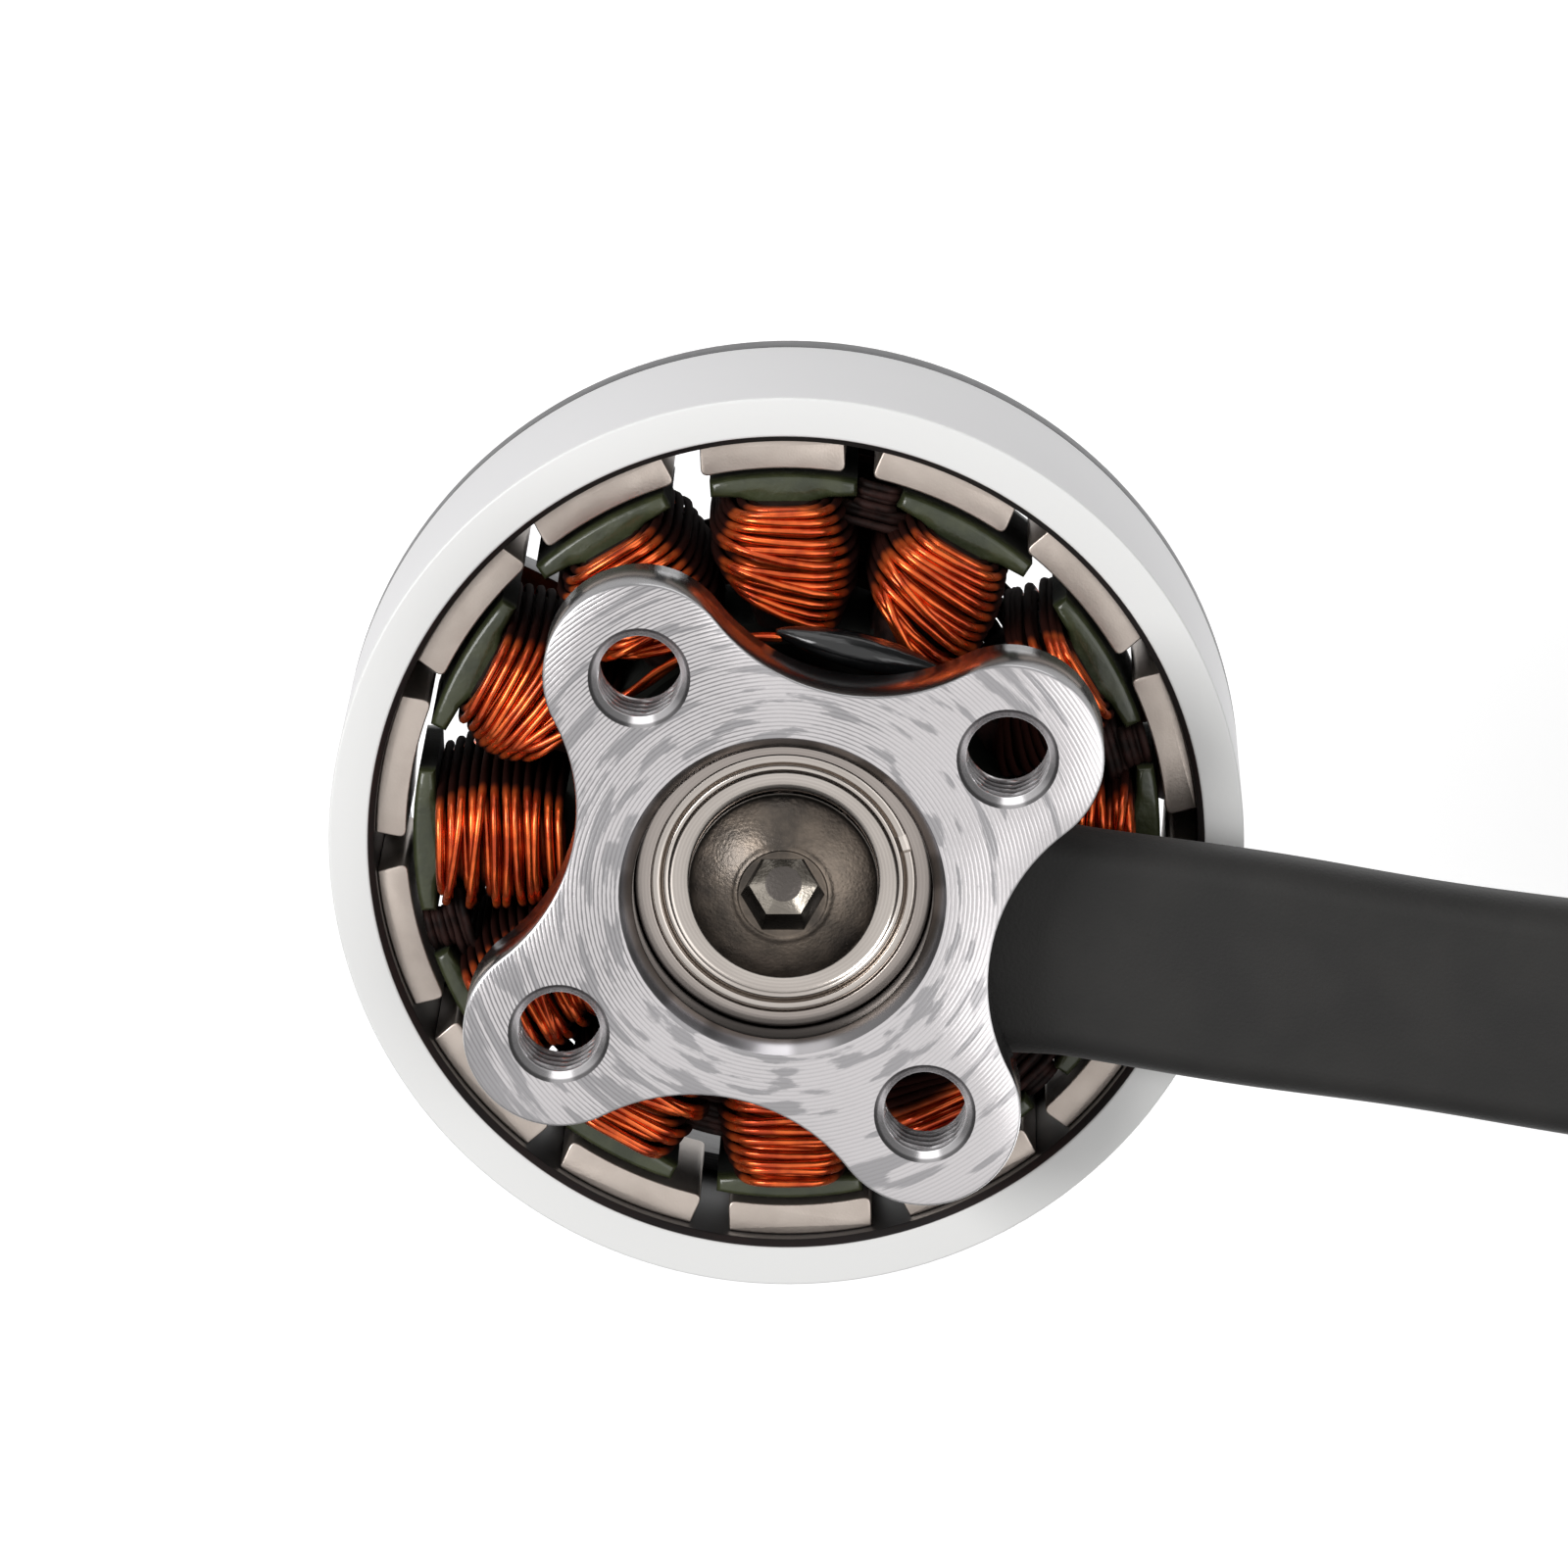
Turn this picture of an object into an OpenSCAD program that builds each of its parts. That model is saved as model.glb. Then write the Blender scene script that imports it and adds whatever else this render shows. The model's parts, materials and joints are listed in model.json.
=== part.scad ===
// Outrunner motor for a small drone, in millimetres.
// Origin at the centre of the mounting face of the base, +Z up the shaft, +X the way the leads leave.

/* [Base] */
// Pitch circle of the four tapped holes
bolt_pcd = 16; // [15.8:0.1:16.6]
// Minor diameter of the tapped holes
tap_d = 2.5; // [2:0.1:2.9]
// Leg of the chamfer at each end of a tapped hole
tap_chamfer = 0.35; // [0.1:0.05:0.5]
// Radius of the round end of each arm
lobe_r = 2.9; // [2.6:0.1:3.2]
// Distance from the axis to the waist between two arms
waist_r = 6.5; // [6.3:0.1:7]
// Thickness of the arms
arm_t = 2.8; // [2:0.1:3]
// Radius of the hub that the stator core stands on
hub_r = 6.2; // [5.9:0.1:6.3]
// Outer radius of the bearing tube
tube_r = 5.6; // [5.3:0.1:5.7]
// Radius of the lead-in taper at the mounting face
lead_in_r = 4.93; // [4.7:0.01:5.1]
// Depth of the lead-in taper
lead_in_h = 1.3; // [0.5:0.1:1.5]
// Radius of the bore between the two bearings
relief_r = 4.1; // [3.9:0.1:4.2]
// Chamfer at the top of the bearing tube
tube_chamfer = 0.15; // [0.05:0.05:0.3]

/* [Bearings] */
// Outer diameter of a bearing
bearing_od = 9; // [8.8:0.1:9.2]
// Bore of a bearing, which is the shaft's diameter
bearing_id = 4; // [3.8:0.1:4.2]
// Width of a bearing
bearing_w = 4; // [3.6:0.1:4.2]
// Depth of the lower bearing below the mounting face
bearing_recess = 1.6; // [1.4:0.1:2]
// Gap between the two bearings
bearing_span = 5.2; // [4:0.1:5.2]
// Diameter of a ball
ball_d = 1.588; // [1.4:0.01:1.65]
// Diameter of the circle of ball centres
ball_pcd = 6.5; // [6.4:0.05:6.6]
// Number of balls in each bearing
ball_count = 7; // [5:1:8]
// Radial thickness of the cage
cage_t = 0.5; // [0.3:0.05:0.6]
// Width of the cage along the shaft
cage_w = 2; // [1.9:0.05:2.2]
// Outer radius of the inner ring
inner_land_r = 2.7; // [2.6:0.02:2.8]
// Inner radius of the outer ring
outer_land_r = 3.85; // [3.75:0.05:3.9]
// Radius of the step that holds the shield
shield_seat_r = 4; // [3.95:0.01:4.05]
// Bore radius of a shield
shield_in_r = 2.82; // [2.8:0.01:3]
// Thickness of a shield
shield_t = 0.12; // [0.08:0.01:0.16]
// Radial width of a snap ring
snap_w = 0.34; // [0.2:0.02:0.4]
// Thickness of a snap ring
snap_t = 0.16; // [0.1:0.02:0.2]
// Depth of a snap ring below the face of the bearing
snap_depth = 0.08; // [0.04:0.01:0.12]
// Gap cut through a snap ring
snap_cut = 0.5; // [0.3:0.1:1]
// Chamfer on the outer edges of a bearing
bearing_chamfer = 0.15; // [0.05:0.05:0.2]

/* [Stator] */
// Diameter over the tips of the teeth
stator_d = 22.9; // [22.5:0.1:23]
// Height of the stack
stack_h = 6; // [5:0.1:6.2]
// Height of the bottom of the stack above the mounting face
stack_z = 6.9; // [6.6:0.1:7.1]
// Radial width of the ring inside the teeth
yoke_w = 1.3; // [1.1:0.1:1.4]
// Width of a tooth
tooth_w = 1.9; // [1.6:0.1:2]
// Width of the tip of a tooth
tip_w = 4.5; // [4:0.1:4.8]
// Radial thickness of the tip of a tooth
tip_t = 0.75; // [0.5:0.05:0.8]

/* [Coils] */
// Diameter of the wound wire in the outer layer
wire_d = 0.32; // [0.24:0.02:0.34]
// Turns in the outer layer
wire_turns = 4; // [2:1:4]
// Width of the inner layers at the hub end of a tooth
winding_w_in = 2.5; // [2.3:0.1:2.7]
// Width of the inner layers at the tip end of a tooth
winding_w_out = 3.26; // [2.8:0.02:3.6]
// Height of the inner layers beyond each end of the stack
winding_end_h = 1.15; // [0.8:0.05:1.2]
// Corner cut of the inner layers
winding_corner = 0.85; // [0.5:0.05:1]

/* [Bell] */
// Outer diameter of the bell
bell_d = 28; // [27.8:0.1:29]
// Wall of the steel ring
ring_wall = 1.4; // [1.2:0.05:1.4]
// Height of the lower lip above the mounting face
lip_z = 6.2; // [6:0.1:6.4]
// Height of the steel ring
ring_h = 7.4; // [7.2:0.1:7.6]
// Chamfer inside the lower lip
lip_chamfer = 0.23; // [0.1:0.01:0.3]
// Height of the rim above the steel ring
rim_h = 1.2; // [1:0.1:1.4]
// Radial width of the rim around the windows
rim_w = 2; // [1.7:0.1:2.2]
// Chamfer at the top of the rim
rim_chamfer = 0.3; // [0.1:0.05:0.4]
// Depth of the rim's spigot inside the steel ring
spigot_h = 0.55; // [0.3:0.05:0.6]
// Width of the windows' inner end above the hub
hub_top_r = 7; // [6.8:0.1:7.4]
// Width of a spoke
spoke_w = 3.1; // [2.4:0.1:3.6]
// Radius of the seat for the propeller
seat_r = 6.5; // [6:0.1:6.6]
// Height of the seat for the propeller
seat_z = 17.6; // [17.4:0.1:18.4]
// Underside of the hub above the bearing tube
hub_gap = 0.25; // [0.2:0.05:0.3]
// Radius of the collar that meets the upper bearing
collar_r = 2.66; // [2.55:0.02:2.68]

/* [Magnets] */
// Radial thickness of a magnet
magnet_t = 0.95; // [0.7:0.05:0.95]
// Width of a magnet around the ring
magnet_w = 4.4; // [3.8:0.1:4.8]
// Height of a magnet
magnet_h = 6; // [5:0.1:6]
// Depth of the magnets above the lower lip
magnet_depth = 0.75; // [0.5:0.05:0.8]

/* [Shaft] */
// Diameter of the threaded propeller end
prop_d = 5; // [4.8:0.1:5.2]
// Length of the propeller end above its seat
prop_l = 13.8; // [10:0.1:16]
// Diameter of the stretch that is pressed into the bell
press_d = 4.6; // [4.4:0.05:4.7]
// Chamfer at the top of the shaft
prop_chamfer = 0.4; // [0.2:0.05:0.6]
// Pitch of the thread on the propeller end
thread_pitch = 0.8; // [0.6:0.05:1]
// Depth of that thread's grooves
thread_depth = 0.35; // [0.2:0.05:0.4]
// Plain length between the seat and the thread
thread_plain = 0.7; // [0.5:0.1:3]
// Distance of the shaft's lower end above the bearing's face
shaft_short = 0.15; // [0.1:0.05:0.4]
// Depth of the tapped hole in the shaft's lower end
shaft_hole_l = 7; // [6.8:0.1:9]

/* [Shaft screw] */
// Thread diameter of the shaft screw
screw_d = 3; // [2.6:0.1:3]
// Length of the screw's shank
screw_l = 6.5; // [5:0.1:6.6]
// Diameter of the screw's head
head_d = 5.74; // [5.5:0.02:5.9]
// Straight edge of the head before the dome
head_edge = 0.2; // [0.1:0.05:0.3]
// Distance of the head's top above the mounting face
head_clear = 0.1; // [0.05:0.05:0.3]
// Width across the flats of the socket
socket_af = 2.15; // [2:0.05:2.3]
// Depth of the socket
socket_h = 0.85; // [0.6:0.05:0.9]
// Outer radius of the washer
washer_r = 2.6; // [2.4:0.05:2.65]
// Thickness of the washer
washer_t = 0.15; // [0.1:0.05:0.2]

/* [Sleeve and leads] */
// Width of the flat sleeve
sleeve_w = 7.3; // [6.9:0.1:7.6]
// Height of the flat sleeve
sleeve_h = 2.3; // [2.25:0.05:2.35]
// Side wall of the sleeve
sleeve_wall = 0.4; // [0.2:0.05:0.4]
// Upper and lower wall of the sleeve
sleeve_skin = 0.2; // [0.1:0.05:0.2]
// Distance of the sleeve's inner end from the axis
sleeve_x = 7.3; // [7.2:0.1:7.6]
// Length of the sleeve
sleeve_l = 19.7; // [18:0.1:20]
// Diameter of a lead over its insulation
lead_d = 1.8; // [1.6:0.05:1.8]
// Length of each lead
lead_l = 150; // [140:1:152]
// Middle radius of the coiled leads
coil_r = 9.2; // [9.1:0.1:9.3]
// Length of a tinned end
tinned_l = 4; // [2:0.5:5]
// Diameter of a tinned end
tinned_d = 1; // [0.6:0.1:1.2]
// Width of the band that ties the coiled leads
tie_w = 2; // [1:0.5:3]
// Thickness of that band
tie_t = 0.4; // [0.2:0.1:0.4]

/* [Joints inside] */
// Diameter of the shrunk tube on the star joint
star_d = 1.5; // [1:0.1:1.6]
// Length of the shrunk tube on the star joint
star_l = 5.2; // [4:0.1:6]
// Diameter of a bundle of phase wires
tail_d = 0.64; // [0.4:0.02:0.8]
// Bend radius of a bundle of phase wires
tail_bend = 0.8; // [0.6:0.05:0.85]

/* [Hidden] */
function two(i) = str(i < 10 ? "0" : "", i);
coil_names = [for (i = [1:12]) str("coil_", two(i))];
magnet_names = [for (i = [1:14]) str("magnet_", two(i))];
phase_names = ["a", "b", "c"];
$fn = 72;

// clearances and overruns
fit = 0.01;
loose = 0.05;
layer_gap = 0.03;
cut = 1;
cord_gap = 0.45;
cord_lift = 0.6;

// angles and counts
stator_turn = 17;
magnet_turn = -1.7;
spoke_turn = -17.8;
spoke_count = 5;
slot_count = 12;
pole_count = 14;
arm_count = 4;
snap_turn = -31;
star_turn = -83.8;
lead_turn = -3.8;
socket_turn = -12.8;
tie_angle = 200;

// where the middle of the sleeve lies, measured from the axis
lead_pivot_x = 12.35;
lead_pivot_y = 0.2;

// base
lobe_x = bolt_pcd / 2 * cos(45);
fillet_r = (pow(lobe_r, 2) - pow(waist_r - lobe_x, 2) - pow(lobe_x, 2)) / (2 * (waist_r - lobe_x - lobe_r));
fillet_x = waist_r + fillet_r;
bore_r = bearing_od / 2 + fit;
lower_z = bearing_recess;
upper_z = lower_z + bearing_w + bearing_span;
tube_top = upper_z + bearing_w + 4 * loose;

// stator
yoke_r = tube_r + fit + yoke_w;
tip_in_r = stator_d / 2 - tip_t;
stack_top = stack_z + stack_h;
winding_r0 = yoke_r + 7 * loose;
winding_r1 = tip_in_r - 2 * loose;
winding_hh = stack_h / 2 + winding_end_h;
wire_pitch = (winding_r1 - winding_r0 - wire_d) / wire_turns;
coil_bottom = stack_z - winding_end_h - layer_gap - wire_d;

// bell
ring_r = bell_d / 2 - ring_wall;
ring_top = lip_z + ring_h;
rim_top = ring_top + rim_h;
window_r = bell_d / 2 - rim_w;
hub_under = tube_top + hub_gap;
magnet_r = ring_r - fit;
magnet_z = lip_z + magnet_depth;

// shaft and screw
groove_w = 2 * thread_depth * tan(30);
groove_count = floor((prop_l - prop_chamfer - thread_plain) / thread_pitch);
shaft_r = bearing_id / 2;
shaft_z = lower_z + shaft_short;
press_cone = (prop_d - press_d) / 2;
head_z = lower_z - washer_t;
head_h = head_z - head_clear;
head_r = head_d / 2;
dome_h = head_h - head_edge;
dome_r = (pow(head_r, 2) + pow(dome_h, 2)) / (2 * dome_h);

// leads
sleeve_z = arm_t + loose;
lead_z = sleeve_z + sleeve_h / 2;
lead_pitch = lead_d + cord_gap;
tail_end = sleeve_x + 2 * tail_bend + 2 * loose;
laid_z = tie_t + 2 * loose + lead_d / 2;

// The route of the middle lead from the sleeve down to the surface, by hand: x along, share of the drop
lead_route = [[13, 0], [17, 0], [21, 0], [25, 0], [29, 0], [30, 0], [31, 2], [32, 10], [33, 28], [34, 50],
    [35, 72], [36, 90], [37, 98], [38, 100], [42, 100], [46, 100]];
drop_shares = 100;
coil_x = 48;
coil_start_x = 46;
lead_pts = concat(
    [[tail_end, 0, lead_z]],
    [for (p = lead_route) [p[0], 0, lead_z - (lead_z - laid_z) * p[1] / drop_shares]]
);
stretch_l = path_len(lead_pts, len(lead_pts) - 1) + coil_x - coil_start_x;

// sums and paths
function unit(v) = v / norm(v);
function path_len(p, i) = i < 1 ? 0 : norm(p[i] - p[i - 1]) + path_len(p, i - 1);
function along(p, i) = unit(p[min(i + 1, len(p) - 1)] - p[max(i - 1, 0)]);
function ring_at(c, t, ref, r, n) =
    let (a = unit(cross(ref, t)), b = cross(t, a))
    [for (k = [0:n - 1]) c + r * (cos(360 * k / n) * a + sin(360 * k / n) * b)];
function tube_pts(p, ref, r, n) = [for (i = [0:len(p) - 1]) each ring_at(p[i], along(p, i), ref, r, n)];
function tube_faces(m, n) = concat(
    [for (k = [1:n - 2]) [0, k, k + 1]],
    [for (i = [0:m - 2], k = [0:n - 1]) [i * n + k, (i + 1) * n + k, (i + 1) * n + (k + 1) % n]],
    [for (i = [0:m - 2], k = [0:n - 1]) [i * n + k, (i + 1) * n + (k + 1) % n, i * n + (k + 1) % n]],
    [for (k = [1:n - 2]) [(m - 1) * n, (m - 1) * n + k + 1, (m - 1) * n + k]]
);
module tube(p, ref, r, n) {
    polyhedron(points = tube_pts(p, ref, r, n), faces = tube_faces(len(p), n));
}

// base: hub and tube turned, four arms
module base_plate() {
    difference() {
        union() {
            for (k = [0:arm_count - 1]) {
                rotate([0, 0, 45 + 90 * k]) translate([bolt_pcd / 2, 0]) circle(r = lobe_r);
                rotate([0, 0, 90 * k]) base_quarter();
            }
        }
        for (k = [0:arm_count - 1]) rotate([0, 0, 90 * k]) translate([fillet_x, 0]) circle(r = fillet_r);
        circle(r = (bore_r + hub_r) / 2);
    }
}
module base_quarter() {
    // the quarter between two arms, out to where the waist's curve meets the round ends
    touch = lobe_r / (lobe_r + fillet_r);
    touch_x = lobe_x + (fillet_x - lobe_x) * touch;
    touch_y = lobe_x - lobe_x * touch;
    polygon([[0, 0], [lobe_x, -lobe_x], [touch_x, -touch_y], [touch_x, touch_y], [lobe_x, lobe_x]]);
}
module base() {
    color("silver")
    difference() {
        union() {
            linear_extrude(height = arm_t) base_plate();
            rotate_extrude() base_profile();
        }
        for (k = [0:arm_count - 1])
            rotate([0, 0, 45 + 90 * k])
            translate([bolt_pcd / 2, 0, 0])
            tapped_hole();
    }
}
module base_profile() {
    polygon([
        [lead_in_r, 0],
        [hub_r, 0],
        [hub_r, stack_z],
        [tube_r, stack_z],
        [tube_r, tube_top - tube_chamfer],
        [tube_r - tube_chamfer, tube_top],
        [bore_r, tube_top],
        [bore_r, upper_z],
        [relief_r, upper_z],
        [relief_r, lower_z + bearing_w],
        [bore_r, lower_z + bearing_w],
        [bore_r, lead_in_h]
    ]);
}
module tapped_hole() {
    r = tap_d / 2;
    translate([0, 0, -cut]) cylinder(r = r, h = arm_t + 2 * cut);
    translate([0, 0, -tap_chamfer]) cylinder(r1 = r + 2 * tap_chamfer, r2 = r, h = 2 * tap_chamfer);
    translate([0, 0, arm_t - tap_chamfer]) cylinder(r1 = r, r2 = r + 2 * tap_chamfer, h = 2 * tap_chamfer);
}

// bearings, each drawn up from its lower face
module outer_ring(z) {
    color("lightsteelblue")
    translate([0, 0, z]) rotate_extrude() difference() {
        polygon([
            [shield_seat_r, 0],
            [bearing_od / 2 - bearing_chamfer, 0],
            [bearing_od / 2, bearing_chamfer],
            [bearing_od / 2, bearing_w - bearing_chamfer],
            [bearing_od / 2 - bearing_chamfer, bearing_w],
            [shield_seat_r, bearing_w],
            [shield_seat_r, bearing_w - seat_h],
            [outer_land_r, bearing_w - seat_h],
            [outer_land_r, seat_h],
            [shield_seat_r, seat_h]
        ]);
        translate([ball_pcd / 2, bearing_w / 2]) circle(r = race_r);
    }
}
seat_h = snap_depth + snap_t + shield_t;
race_r = ball_d / 2 + layer_gap;
module inner_ring(z) {
    color("gainsboro")
    translate([0, 0, z]) rotate_extrude() difference() {
        polygon([
            [shaft_r + fit, 0],
            [inner_land_r, 0],
            [inner_land_r, bearing_w],
            [shaft_r + fit, bearing_w]
        ]);
        translate([ball_pcd / 2, bearing_w / 2]) circle(r = race_r);
    }
}
module ball_ring(z, r) {
    for (k = [0:ball_count - 1])
        rotate([0, 0, 360 / ball_count * k])
        translate([ball_pcd / 2, 0, z + bearing_w / 2])
        sphere(r = r);
}
module cage(z) {
    color("goldenrod")
    difference() {
        translate([0, 0, z + (bearing_w - cage_w) / 2]) difference() {
            cylinder(r = (ball_pcd + cage_t) / 2, h = cage_w);
            translate([0, 0, -cut]) cylinder(r = (ball_pcd - cage_t) / 2, h = cage_w + 2 * cut);
        }
        ball_ring(z, ball_d / 2 + loose);
    }
}
module balls(z) {
    color("white") ball_ring(z, ball_d / 2);
}
module shields(z) {
    color("darkgray")
    for (s = [0, 1])
        translate([0, 0, z + s * (bearing_w - 2 * seat_h + shield_t) + seat_h - shield_t])
        difference() {
            cylinder(r = shield_seat_r - fit, h = shield_t);
            translate([0, 0, -cut]) cylinder(r = shield_in_r, h = shield_t + 2 * cut);
        }
}
module snap_rings(z) {
    color("dimgray")
    for (s = [0, 1])
        translate([0, 0, z + s * (bearing_w - 2 * snap_depth - snap_t) + snap_depth])
        difference() {
            cylinder(r = shield_seat_r - fit, h = snap_t);
            translate([0, 0, -cut]) cylinder(r = shield_seat_r - fit - snap_w, h = snap_t + 2 * cut);
            rotate([0, 0, snap_turn])
                translate([0, -snap_cut / 2, -cut])
                cube([bearing_od, snap_cut, snap_t + 2 * cut]);
        }
}

// stator core: ring, teeth and tips of the coated stack
module stator_core() {
    color("darkolivegreen")
    translate([0, 0, stack_z]) rotate([0, 0, stator_turn]) linear_extrude(height = stack_h) difference() {
        union() {
            circle(r = yoke_r);
            for (k = [0:slot_count - 1]) rotate([0, 0, 360 / slot_count * k]) tooth();
        }
        circle(r = tube_r + fit);
    }
}
module tooth() {
    translate([(tube_r + yoke_r) / 2, -tooth_w / 2])
    square([tip_in_r + tip_t / 2 - (tube_r + yoke_r) / 2, tooth_w]);
    intersection() {
        difference() {
            circle(r = stator_d / 2);
            circle(r = tip_in_r);
        }
        translate([yoke_r, -tip_w / 2]) square([stator_d / 2, tip_w]);
    }
}

// one coil: plain inner layers round the tooth, and the outer layer as one wound wire
function half_w(r) =
    (winding_w_in + (winding_w_out - winding_w_in) * (r - winding_r0) / (winding_r1 - winding_r0)) / 2;
function corner(j, w, h, c) =
    let (k = j % 8)
    k == 0 ? [w, -h + c] : k == 1 ? [w, h - c] : k == 2 ? [w - c, h] : k == 3 ? [-w + c, h] :
    k == 4 ? [-w, h - c] : k == 5 ? [-w, -h + c] : k == 6 ? [-w + c, -h] : [w - c, -h];
function wound(j) =
    let (
        r = winding_r0 + wire_d / 2 + wire_pitch * j / 8,
        out = layer_gap + wire_d / 2,
        q = corner(j, half_w(r) + out, winding_hh + out, winding_corner)
    )
    [r, q[0], q[1]];
wire_pts = [for (j = [0:8 * wire_turns]) wound(j)];
module coil(i) {
    color("orangered")
    rotate([0, 0, stator_turn + 360 / slot_count * (i - 1)]) translate([0, 0, stack_z + stack_h / 2]) {
        difference() {
            winding_core();
            translate([0, -tooth_w / 2 - loose, -stack_h / 2 - loose])
                cube([stator_d / 2, tooth_w + 2 * loose, stack_h + 2 * loose]);
        }
        tube(wire_pts, [1, 0, 0], wire_d / 2, 6);
    }
}
module winding_core() {
    pts = [for (r = [winding_r0, winding_r1], j = [0:7])
        let (q = corner(j, half_w(r), winding_hh, winding_corner)) [r, q[0], q[1]]];
    polyhedron(points = pts, faces = tube_faces(2, 8));
}

// star joint under its shrunk tube, beside the hub
module star_joint() {
    color("black")
    rotate([0, 0, star_turn])
    translate([hub_r + 3 * loose + star_d / 2, 0, (arm_t + coil_bottom) / 2])
    rotate([90, 0, 0])
    rotate_extrude()
    intersection() {
        union() {
            translate([0, -star_l / 2 + star_d / 2]) square([star_d / 2, star_l - star_d]);
            translate([0, star_l / 2 - star_d / 2]) circle(r = star_d / 2);
            translate([0, -star_l / 2 + star_d / 2]) circle(r = star_d / 2);
        }
        translate([0, -star_l]) square([star_d, 2 * star_l]);
    }
}

// everything on the sleeve's line is drawn along X and set at the sleeve's angle
module on_lead_line() {
    translate([lead_pivot_x, lead_pivot_y, 0])
    rotate([0, 0, lead_turn])
    translate([-lead_pivot_x, 0, 0])
    children();
}
module phase_tail(k) {
    // a bundle of bare wires from under a coil, round one bend into the sleeve
    x = sleeve_x - tail_bend / 2;
    color("saddlebrown")
    on_lead_line() translate([0, lead_pitch * (1 - k), 0]) {
        translate([x, 0, lead_z + tail_bend])
        cylinder(d = tail_d, h = coil_bottom - loose - lead_z - tail_bend);
        translate([x + tail_bend, 0, lead_z + tail_bend])
            rotate([90, 0, 0])
            rotate([0, 0, 180])
            rotate_extrude(angle = 90)
            translate([tail_bend, 0])
            circle(d = tail_d);
        translate([x + tail_bend, 0, lead_z])
            rotate([0, 90, 0])
            cylinder(d = tail_d, h = tail_end - x - tail_bend);
    }
}
module flat_outline(w, h, r) {
    // a flat oval lying on its side: w wide, h high
    square([w - 2 * r, h], center = true);
    square([w, h - 2 * r], center = true);
    for (a = [-1, 1], b = [-1, 1]) translate([a * (w / 2 - r), b * (h / 2 - r)]) circle(r = r);
}
outer_round_share = 0.45;
inner_round_share = 0.3;
module lead_sleeve() {
    color("black")
    on_lead_line()
    translate([sleeve_x, 0, lead_z])
    rotate([90, 0, 90])
    linear_extrude(height = sleeve_l)
    difference() {
        flat_outline(sleeve_w, sleeve_h, sleeve_h * outer_round_share);
        flat_outline(sleeve_w - 2 * sleeve_wall, sleeve_h - 2 * sleeve_skin, sleeve_h * inner_round_share);
    }
}

// leads: each runs straight out, sinks to the surface and then winds into the coil
module lead(k) {
    color(["black", "dimgray", "gray"][k])
    on_lead_line() translate([0, lead_pitch * (1 - k), 0]) tube(lead_pts, [0, 0, 1], lead_d / 2, 8);
}
function wind_r(k) = coil_r + lead_pitch * (k - 1);
function wind_angle(k) = (lead_l - stretch_l - lead_d - tinned_l) / (2 * PI * wind_r(k)) * 360;
function ease(u) = u <= 0 ? 0 : u >= 1 ? 1 : u * u * (3 - 2 * u);
function climbs(a, total) =
    (total > 330 ? ease((a - 215) / 83) : 0) + (total > 575 ? ease((a - 575) / 83) : 0);
function wind_at(k, a) =
    let (r = wind_r(k))
    [coil_x + r * sin(a), coil_r - r * cos(a), laid_z + (lead_d + cord_lift) * climbs(a, wind_angle(k))];
function wind_steps(k) = ceil(wind_angle(k) / 15);
function wind_pts(k) =
    let (n = wind_steps(k), total = wind_angle(k), end = wind_at(k, total), back = wind_at(k, total - 1))
    concat(
        [[coil_start_x, lead_pitch * (1 - k), laid_z]],
        [for (i = [0:n]) wind_at(k, total * i / n)],
        [end + lead_d * unit([end[0] - back[0], end[1] - back[1], 0])]
    );
lead_gap_now = min([for (k = [0:2]) path_gap(wind_pts(k), 20) - lead_d]);
wire_gap_now = path_gap(wire_pts, 6) - wire_d;
function path_gap(p, skip) =
    min([for (i = [0:len(p) - 1 - skip], j = [i + skip:len(p) - 1]) norm(p[i] - p[j])]);
echo(lead_gap = lead_gap_now, wire_gap = wire_gap_now, wind_angles = [for (k = [0:2]) wind_angle(k)]);
module lead_coil(k) {
    color(["black", "dimgray", "gray"][k]) on_lead_line() tube(wind_pts(k), [0, 0, 1], lead_d / 2, 6);
}
module lead_ends() {
    color("white")
    on_lead_line()
    for (k = [0:2]) {
        p = wind_pts(k);
        end = p[len(p) - 1];
        way = unit(end - p[len(p) - 2]);
        translate(end) rotate([0, 90, atan2(way[1], way[0])]) cylinder(d = tinned_d, h = tinned_l);
    }
}
module lead_tie() {
    wide = 2 * lead_pitch + lead_d + 4 * loose;
    high = 2 * lead_d + cord_lift + 4 * loose;
    color("black")
    on_lead_line()
    translate([coil_x + coil_r * sin(tie_angle), coil_r - coil_r * cos(tie_angle), tie_t + high / 2])
    rotate([90, 0, tie_angle - 90])
    translate([0, 0, -tie_w / 2])
    linear_extrude(height = tie_w)
    difference() {
        flat_outline(wide + 2 * tie_t, high + 2 * tie_t, 2 * tie_t);
        flat_outline(wide, high, tie_t);
    }
}

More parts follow.
